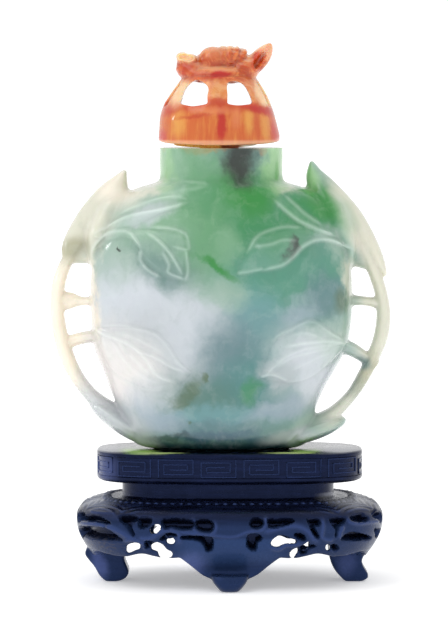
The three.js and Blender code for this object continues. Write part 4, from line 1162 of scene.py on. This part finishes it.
# Carving on the long sides, seen from the front: sunk fields, then raised strokes.
sunkFields = [
    [[-19.5, 13.3], [-17.9, 13.7], [-16.4, 13.5], [-16.0, 12.9], [-16.9, 12.1], [-17.1, 11.4], [-16.6, 10.2],
     [-17.0, 9.8], [-17.7, 10.5], [-18.6, 11.7], [-19.3, 12.4]],
    [[-26.8, 11.8], [-25.4, 12.9], [-23.7, 13.2], [-21.9, 12.6], [-20.8, 11.9], [-21.9, 11.8], [-23.7, 12.0]],
    [[-26.7, 10.6], [-23.7, 11.1], [-21.3, 10.9], [-19.7, 9.8], [-18.8, 8.9], [-21.3, 8.7],
     [-24.7, 8.7], [-26.1, 9.1]],
    [[-12.3, 9.5], [-11.0, 10.6], [-9.6, 10.6], [-9.2, 10.1], [-10.3, 9.9], [-11.0, 9.3], [-12.1, 9.2]],
    [[-14.9, 9.1], [-13.7, 9.1], [-13.3, 8.6], [-13.9, 7.9], [-14.9, 7.7]],
    [[-11.6, 13.2], [-6.6, 13.0], [-6.4, 11.4], [-8.2, 11.1], [-10.1, 11.4], [-11.6, 11.3]],
    [[-6.0, 12.8], [-4.6, 13.3], [-3.2, 12.9], [-2.7, 12.0], [-3.1, 10.9], [-4.4, 10.7], [-5.7, 11.2],
     [-6.1, 12.0]],
    [[-8.5, 10.1], [-6.0, 10.2], [-3.2, 9.9], [-2.8, 8.6], [-3.1, 7.3], [-4.1, 7.1], [-4.6, 8.1], [-5.2, 8.9],
     [-6.6, 9.3], [-8.5, 9.5]],
    [[-15.9, 13.2], [-13.9, 13.3], [-13.7, 12.4], [-14.6, 11.4], [-16.0, 11.4]],
    [[3.0, 10.0], [3.6, 10.5], [5.0, 10.5], [5.7, 9.9], [5.6, 9.2], [4.9, 8.7], [4.8, 7.8],
     [4.5, 7.2], [3.8, 7.2],
     [3.1, 7.8], [2.8, 8.4]],
    [[3.4, 12.4], [3.8, 13.2], [4.7, 13.5], [5.6, 13.2], [6.0, 12.4], [5.6, 11.6], [4.7, 11.3], [3.7, 11.6]],
    [[6.7, 12.1], [6.7, 13.2], [10.9, 13.2], [11.3, 12.6], [10.2, 12.0], [8.7, 11.6], [7.0, 11.4]],
    [[11.2, 10.3], [12.0, 10.7], [13.2, 10.1], [13.4, 9.2], [12.4, 9.2], [11.6, 9.7]],
    [[12.3, 7.2], [13.6, 7.9], [14.5, 8.4], [15.2, 8.0], [13.9, 7.4], [13.4, 6.7], [12.6, 6.3]],
    [[13.5, 13.1], [15.8, 12.9], [15.9, 11.8], [15.0, 11.6], [15.8, 9.7], [15.2, 9.5], [14.3, 10.7],
     [13.9, 11.9]],
    [[17.6, 13.1], [20.4, 13.0], [20.1, 11.9], [19.2, 11.1], [18.9, 9.9], [18.4, 9.6], [18.6, 10.9],
     [17.7, 12.1]],
    [[17.9, 8.3], [18.8, 8.2], [19.3, 7.4], [18.6, 6.9], [17.9, 7.4]],
    [[21.1, 13.1], [23.3, 13.5], [23.9, 13.0], [24.6, 12.6], [24.3, 12.0], [22.5, 12.1], [21.4, 12.5]],
    [[24.9, 13.6], [25.8, 13.8], [26.8, 12.6], [26.8, 12.0], [25.6, 12.4], [25.1, 13.0]],
    [[19.6, 9.0], [20.4, 10.1], [21.9, 10.4], [24.7, 9.3], [25.0, 8.5], [22.4, 8.6]],
]
raisedStrokes = [
    # height, width, run of x, z
    (0.26, 0.30, [[-24.8, 13.6], [-22.6, 13.8], [-20.8, 13.9], [-20.3, 13.5]]),
    (0.34, 0.50, [[-21.9, 11.5], [-19.5, 10.7], [-17.9, 9.8], [-16.4, 9.4]]),
    (0.24, 0.30, [[-26.8, 11.2], [-23.7, 11.6], [-21.9, 11.4]]),
    (0.34, 0.45, [[-16.2, 9.6], [-13.9, 9.7], [-11.9, 10.9], [-10.5, 11.2], [-9.1, 10.6], [-8.8, 9.6],
                  [-9.0, 8.6]]),
    (0.22, 0.26, [[-6.3, 13.3], [-6.4, 12.0], [-6.2, 11.1], [-4.6, 10.4], [-3.0, 10.5], [-2.4, 11.6],
                  [-2.6, 12.8]]),
    (0.22, 0.30, [[-9.6, 11.0], [-7.2, 10.7], [-4.8, 10.5], [-2.6, 10.2], [0.6, 10.0], [3.2, 10.9],
                  [5.2, 10.9]]),
    (0.30, 0.45, [[5.8, 10.8], [7.4, 11.2], [10.2, 11.8], [12.0, 11.8], [13.7, 10.9], [14.6, 9.6],
                  [15.6, 8.9]]),
    (0.22, 0.26, [[6.3, 13.5], [6.3, 12.5], [5.9, 11.4], [5.0, 11.0], [3.7, 11.2]]),
    (0.26, 0.32, [[16.2, 13.0], [16.4, 11.7], [16.2, 9.8], [17.4, 9.2], [18.2, 9.4]]),
    (0.34, 0.30, [[20.7, 13.0], [21.1, 12.2], [22.6, 11.8], [24.6, 11.8], [26.9, 11.6]]),
    (0.28, 0.32, [[19.2, 12.6], [19.8, 11.4], [19.4, 10.4], [19.3, 9.4]]),
    (0.26, 0.36, [[7.0, 8.0], [8.6, 7.7], [9.8, 8.4], [11.4, 8.4], [12.6, 8.8]]),
    (0.24, 0.36, [[-18.6, 9.0], [-16.8, 9.2], [-15.2, 8.6], [-14.8, 7.4]]),
]
# Carving on the short sides, as y and z, mirrored about the middle.
endFields = [
    [[-9.4, 12.9], [-7.4, 13.4], [-5.4, 13.0], [-5.0, 12.0], [-6.2, 11.2], [-8.0, 11.4]],
    [[-4.2, 12.8], [-2.4, 13.2], [-1.2, 12.4], [-1.4, 11.2], [-2.8, 10.8], [-4.0, 11.4]],
    [[-9.8, 10.4], [-7.6, 10.2], [-5.0, 9.8], [-4.4, 8.4], [-5.8, 8.2], [-8.0, 8.8]],
    [[-3.2, 9.8], [-1.8, 9.6], [-1.4, 8.2], [-2.2, 7.2], [-3.0, 8.2]],
]


def insetSections(rows, wide, deep):
    return [[z, wide - inset, deep - inset] for z, inset in rows]


def ringTable(width, depth, squareness, count=720):
    ring = ovalRing(0, width, depth, 0, squareness, count)[:, :2]
    steps = np.linalg.norm(np.roll(ring, -1, axis=0) - ring, axis=1)
    return ring, np.concatenate([[0], np.cumsum(steps)])


def placeOnRing(points, ring, lengths):  # how far round the ring each x, y place is
    out = np.zeros(len(points))
    for start in range(0, len(points), 20000):
        block = points[start:start + 20000]
        far = ((block[:, None, :] - ring[None, :, :]) ** 2).sum(2)
        out[start:start + 20000] = lengths[far.argmin(1)]
    return out


def sinkFields(places, fields, mask, lift, sunk):
    for outline in fields:
        shape = roundRun(outline)
        near = (np.abs(places - shape.mean(0)) < np.ptp(shape, axis=0) * 0.5 + 1.2).all(1) & (mask > 0)
        if not near.any():
            continue
        far, _ = runDistance(places[near], np.vstack([shape, shape[:1]]))
        well = np.where(insideOutline(places[near], shape), rise(far, -0.05, 0.4), 0) * mask[near]
        lift[near] = np.minimum(lift[near], -standForm["sinkDepth"] * well)
        sunk[near] = np.maximum(sunk[near], well)


def standRelief(local, no):  # how far the carving stands out at each place, and its masks
    form = standForm
    apron, arcForm, beadForm = form["apron"], form["arcs"], form["beads"]
    x, y, z = local.T
    lift, raised, sunk = np.zeros((3, len(local)))
    flat, ends = local[:, [0, 2]], local[:, [1, 2]]
    outer = (np.hypot(x / 24.0, y / 14.0) > 0.86) & (x * no[:, 0] + y * no[:, 1] > 0)
    height = between(z, 5.2, 5.8, 13.5, 14.0) * outer
    long = height * rise(np.abs(no[:, 1]), 0.12, 0.3)
    short = height * rise(np.abs(no[:, 0]), 0.5, 0.7) * rise(-np.abs(no[:, 1]), -0.75, -0.55)
    sinkFields(flat, sunkFields, long, lift, sunk)
    for mirror in (-1, 1):
        sinkFields(ends * np.array([mirror, 1]), endFields, short, lift, sunk)
    near = long > 0
    for rowHeight, width, stations in raisedStrokes:
        far, place = runDistance(flat[near], smoothRun(stations, 6))
        taper = np.minimum(1, np.minimum(place, 1 - place) / 0.1 + 0.2)
        bump = np.exp(-(far / width) ** 2) * taper * long[near] * (1 - 0.8 * sunk[near])
        lift[near] += rowHeight * bump
        raised[near] = np.maximum(raised[near], bump)
    # fine curved lines over the shoulder's ends
    shoulder = (z > 12.6) & (no[:, 2] > 0.12) & (z < 16.2)
    ring, lengths = ringTable(apron["width"] - 3, apron["depth"] - 3, apron["squareness"])
    around = placeOnRing(local[shoulder][:, :2], ring, lengths) / lengths[-1]
    profile = np.array([row for row in form["apronInset"] if row[0] > 12.5])
    inward = np.interp(z[shoulder], profile[:, 0], profile[:, 1])
    across = 2 * np.abs((around * arcForm["count"]) % 1 - 0.5)
    arcs = np.sin((inward / arcForm["pitch"] + 2.6 * across ** 2) * math.pi)
    fade = between(inward, 0.6, 1.4, 4.8, 5.4) * rise(np.abs(x[shoulder]), 13, 19)
    lift[shoulder] += arcForm["lift"] * arcs * fade
    raised[shoulder] = np.maximum(raised[shoulder], 0.6 * rise(arcs, 0.2, 0.9) * fade)
    # a row of small points at the foot of the waist
    point = 1 - 2 * np.abs((around * beadForm["count"]) % 1 - 0.5)
    row = between(inward, 4.6, 5.0, 6.0, 6.6)
    peak = row * rise(point - 0.5 * np.abs(inward - 5.4), 0.1, 0.7)
    lift[shoulder] += beadForm["lift"] * peak
    raised[shoulder] = np.maximum(raised[shoulder], peak)
    # a worn patch above the left foot
    worn = np.exp(-(((x + 21.8) / 3.6) ** 2 + ((z - 7.7) / 1.4) ** 2)) * (no[:, 1] < 0.2)
    return lift, np.clip(raised, 0, 1), np.clip(worn * 1.3, 0, 1), np.clip(sunk, 0, 1)


def makeStandBase(material):
    form = standForm
    at = (standX, 0, 0)
    apron = form["apron"]

    def sideGap(bm, end, face):
        verts = addSlab(bm, closedRun(form["sideGap"]) * [face, 1], -30, -14)
        turnVerts(bm, verts, "Z", 90 * end)
        bmesh.ops.translate(bm, verts=verts, vec=at)

    def opening(bm, outline, slant):
        verts = addSlab(bm, roundRun(outline), -30, 30, at)
        turnVerts(bm, verts, "X", slant, (0, -apron["depth"], np.mean(outline, axis=0)[1]))

    bm = bmesh.new()
    sections = insetSections(form["apronInset"], apron["width"], apron["depth"])
    addOvals(bm, sections, apron["squareness"], 144, 4, at)
    obj = makeObject("stand_base", bm)
    hollow = insetSections(form["hollowInset"], apron["width"], apron["depth"])
    tools = [makeTool(addOvals, hollow, apron["squareness"], 72, 3, at)]
    tools += [makeTool(addSlab, closedRun(form["frontGap"]) * [face, 1], -30, 30, at) for face in (1, -1)]
    tools += [makeTool(sideGap, end, face) for end in (-1, 1) for face in (-1, 1)]
    for outline in form["openings"]:
        tools += [makeTool(opening, outline, slant) for slant in (0, -form["slant"])]
    carve(obj, tools)
    waist = [[z, *form["waist"]] for z in (14.4, 18.6)]
    deep, toeY = form["footDepth"], form["toeY"]
    feet = [makeTool(addSlab, closedRun(form[side]), -deep, deep, at) for side in ("leftFoot", "rightFoot")]
    for foot in feet:
        skin(foot, 0.3, 5)
    toes = [makeTool(addOvals, form["toe"], 3, 40, 4, (standX, face * toeY, 0)) for face in (-1, 1)]
    joinTo(obj, [makeTool(addOvals, waist, 3, 120, 1, at)] + feet + toes)
    skin(obj, form["voxel"], form["ease"])
    co, no = vertsOf(obj), normalsOf(obj)
    co += no * standRelief(co - np.array(at), no)[0][:, None]
    co[:, 2] = np.maximum(co[:, 2], 0)
    moveVerts(obj, co)
    thin(obj, form["faces"])
    co, no = vertsOf(obj), normalsOf(obj)
    paint(obj, *standRelief(co - np.array(at), no)[1:])
    finishPiece(obj, "stand", material)
    print("stand base", len(obj.data.polygons))


def makeStandTop(material):
    plate = standForm["plate"]
    at = (standX, 0, 0)
    bm = bmesh.new()
    sections = insetSections(standForm["plateProfile"], plate["width"], plate["depth"])
    addOvals(bm, sections, plate["squareness"], 240, 1, at)
    obj = makeObject("stand_top", bm)
    recess = standForm["recess"]
    room = [half + recess["clearance"] for half in bottleForm["foot"]]
    sections = [[z, *room] for z in (recess["floor"], recess["top"])]
    carve(obj, [makeTool(addOvals, sections, bottleForm["squareness"], 96, 1, (bottleX, 0, 0))])
    paint(obj, 0, 0, 0)
    finishPiece(obj, "stand", material)
    print("stand top", len(obj.data.polygons))


# The band of squared scrolls round the plate, made flat and then wrapped.

fretForm = {
    "units": 16,
    "start": 1.8,
    "line": 0.3,
    "raise": 0.2,
    "buried": 0.1,
    "slope": 0.08,
    "span": 0.6,
    "low": 19.8,
    "high": 22.85,
    # a squared scroll in a unit square
    "scroll": [(0.06, 0.0), (0.06, 1.0), (0.94, 1.0), (0.94, 0.16), (0.2, 0.16), (0.2, 0.72), (0.8, 0.72),
               (0.8, 0.42), (0.36, 0.42)],
}


def makeFret(material):
    form, plate = fretForm, standForm["plate"]
    inset = plate["bandInset"]
    ring, lengths = ringTable(plate["width"] - inset, plate["depth"] - inset, plate["squareness"])
    closed = np.vstack([ring, ring[:1]])
    unit, tall = lengths[-1] / form["units"], form["high"] - form["low"]
    bm = bmesh.new()
    for n in range(form["units"]):
        points = [(1 - u, 1 - v) for u, v in form["scroll"]] if n % 2 else form["scroll"]
        points = [((n + 0.04 + 0.92 * u) * unit, form["low"] + v * tall) for u, v in points]
        for (s0, z0), (s1, z1) in zip(points[:-1], points[1:]):
            verts = bmesh.ops.create_cube(bm, size=1)["verts"]
            size = (abs(s1 - s0) + form["line"], form["raise"] + form["buried"], abs(z1 - z0) + form["line"])
            bmesh.ops.scale(bm, verts=verts, vec=size)
            for vert in verts:  # sloping sides
                if vert.co.y > 0:
                    vert.co.x -= math.copysign(form["slope"], vert.co.x)
                    vert.co.z -= math.copysign(form["slope"], vert.co.z)
            middle = (0.5 * (s0 + s1), 0.5 * (form["raise"] - form["buried"]), 0.5 * (z0 + z1))
            bmesh.ops.translate(bm, verts=verts, vec=middle)
    for s in np.arange(form["span"], lengths[-1], form["span"]):  # cut, so that it can bend
        everything = bm.verts[:] + bm.edges[:] + bm.faces[:]
        bmesh.ops.bisect_plane(bm, geom=everything, plane_co=(s, 0, 0), plane_no=(1, 0, 0))
    for vert in bm.verts:  # the middle of the front is three quarters of the way round
        s = (vert.co.x + 0.75 * lengths[-1] + form["start"]) % lengths[-1]
        ahead = (s + 0.2) % lengths[-1]
        x, y = (np.interp(s, lengths, closed[:, i]) for i in (0, 1))
        dx, dy = (np.interp(ahead, lengths, closed[:, i]) - c for i, c in ((0, x), (1, y)))
        out = vert.co.y / math.hypot(dx, dy)
        vert.co = (x + dy * out + standX, y - dx * out, vert.co.z)
    obj = makeObject("stand_fret", bm)
    # the fret's lines take half of the painted highlight of raised carving
    paint(obj, 0.5, 0, 0)
    finishPiece(obj, None, material)
    print("fret", len(obj.data.polygons))


wood = makeWood()
makeStandBase(wood)
makeStandTop(wood)
makeFret(wood)


# Floor, light and camera.

stageLook = {
    "floor": (246, 246, 246),
    "floorGlow": 0.34,
    "sky": 0.95,
    "behind": 1.1,  # the brightness that the camera sees behind the object
    # towards the light, its width in degrees and its strength
    "key": ((-0.7, -0.5, 1.0), 40, 0.5),
    "spark": ((-0.95, 0.2, 0.22), 5, 0.1),
    "lens": 193.87,
    "cameraX": 0.63,
    "distance": 600,
    "height": 84.5,
    "pitch": 3.432,
}


def makeFloor():
    floor, nodes, shader = newMaterial("floor")
    shader.inputs["Base Color"].default_value = linear(*stageLook["floor"])
    shader.inputs["Roughness"].default_value = 0.9
    shader.inputs["Specular IOR Level"].default_value = 0.1
    shader.inputs["Emission Color"].default_value = (1, 1, 1, 1)
    shader.inputs["Emission Strength"].default_value = stageLook["floorGlow"]
    bm = bmesh.new()
    bmesh.ops.create_grid(bm, x_segments=1, y_segments=1, size=40000)
    obj = makeObject("floor", bm)
    obj.data.materials.append(floor)


def makeSky():
    world = bpy.data.worlds.new("studio")
    bpy.context.scene.world = world
    world.use_nodes = True
    world.node_tree.nodes.clear()
    nodes = Nodes(world.node_tree)
    seen = nodes.add("ShaderNodeLightPath").outputs["Is Camera Ray"]
    sky = stageLook["sky"]
    strength = nodes.math("ADD", nodes.math("MULTIPLY", seen, stageLook["behind"] - sky), sky)
    back = nodes.add("ShaderNodeBackground", {"Color": (1, 1, 1, 1), "Strength": strength})
    nodes.put(back.outputs[0], nodes.add("ShaderNodeOutputWorld").inputs[0])


def addSun(name, towards, angle, strength):
    data = bpy.data.lights.new(name, "SUN")
    data.angle = math.radians(angle)
    data.energy = strength
    obj = bpy.data.objects.new(name, data)
    bpy.context.scene.collection.objects.link(obj)
    obj.rotation_euler = Vector(towards).to_track_quat("Z", "Y").to_euler()


def makeCamera():
    data = bpy.data.cameras.new("camera")
    data.lens = stageLook["lens"]
    data.sensor_width = 36
    data.clip_start, data.clip_end = 0.01, 100
    obj = bpy.data.objects.new("camera", data)
    bpy.context.scene.collection.objects.link(obj)
    place = (stageLook["cameraX"], -stageLook["distance"], stageLook["height"])
    obj.location = Vector(place) * mm
    obj.rotation_euler = (math.radians(90 - stageLook["pitch"]), 0, 0)
    bpy.context.scene.camera = obj


makeFloor()
makeSky()
for name in ("key", "spark"):
    addSun(name, *stageLook[name])
makeCamera()
bpy.context.scene.view_settings.view_transform = "Standard"
bpy.context.scene.view_settings.look = "None"
print("stage ready")
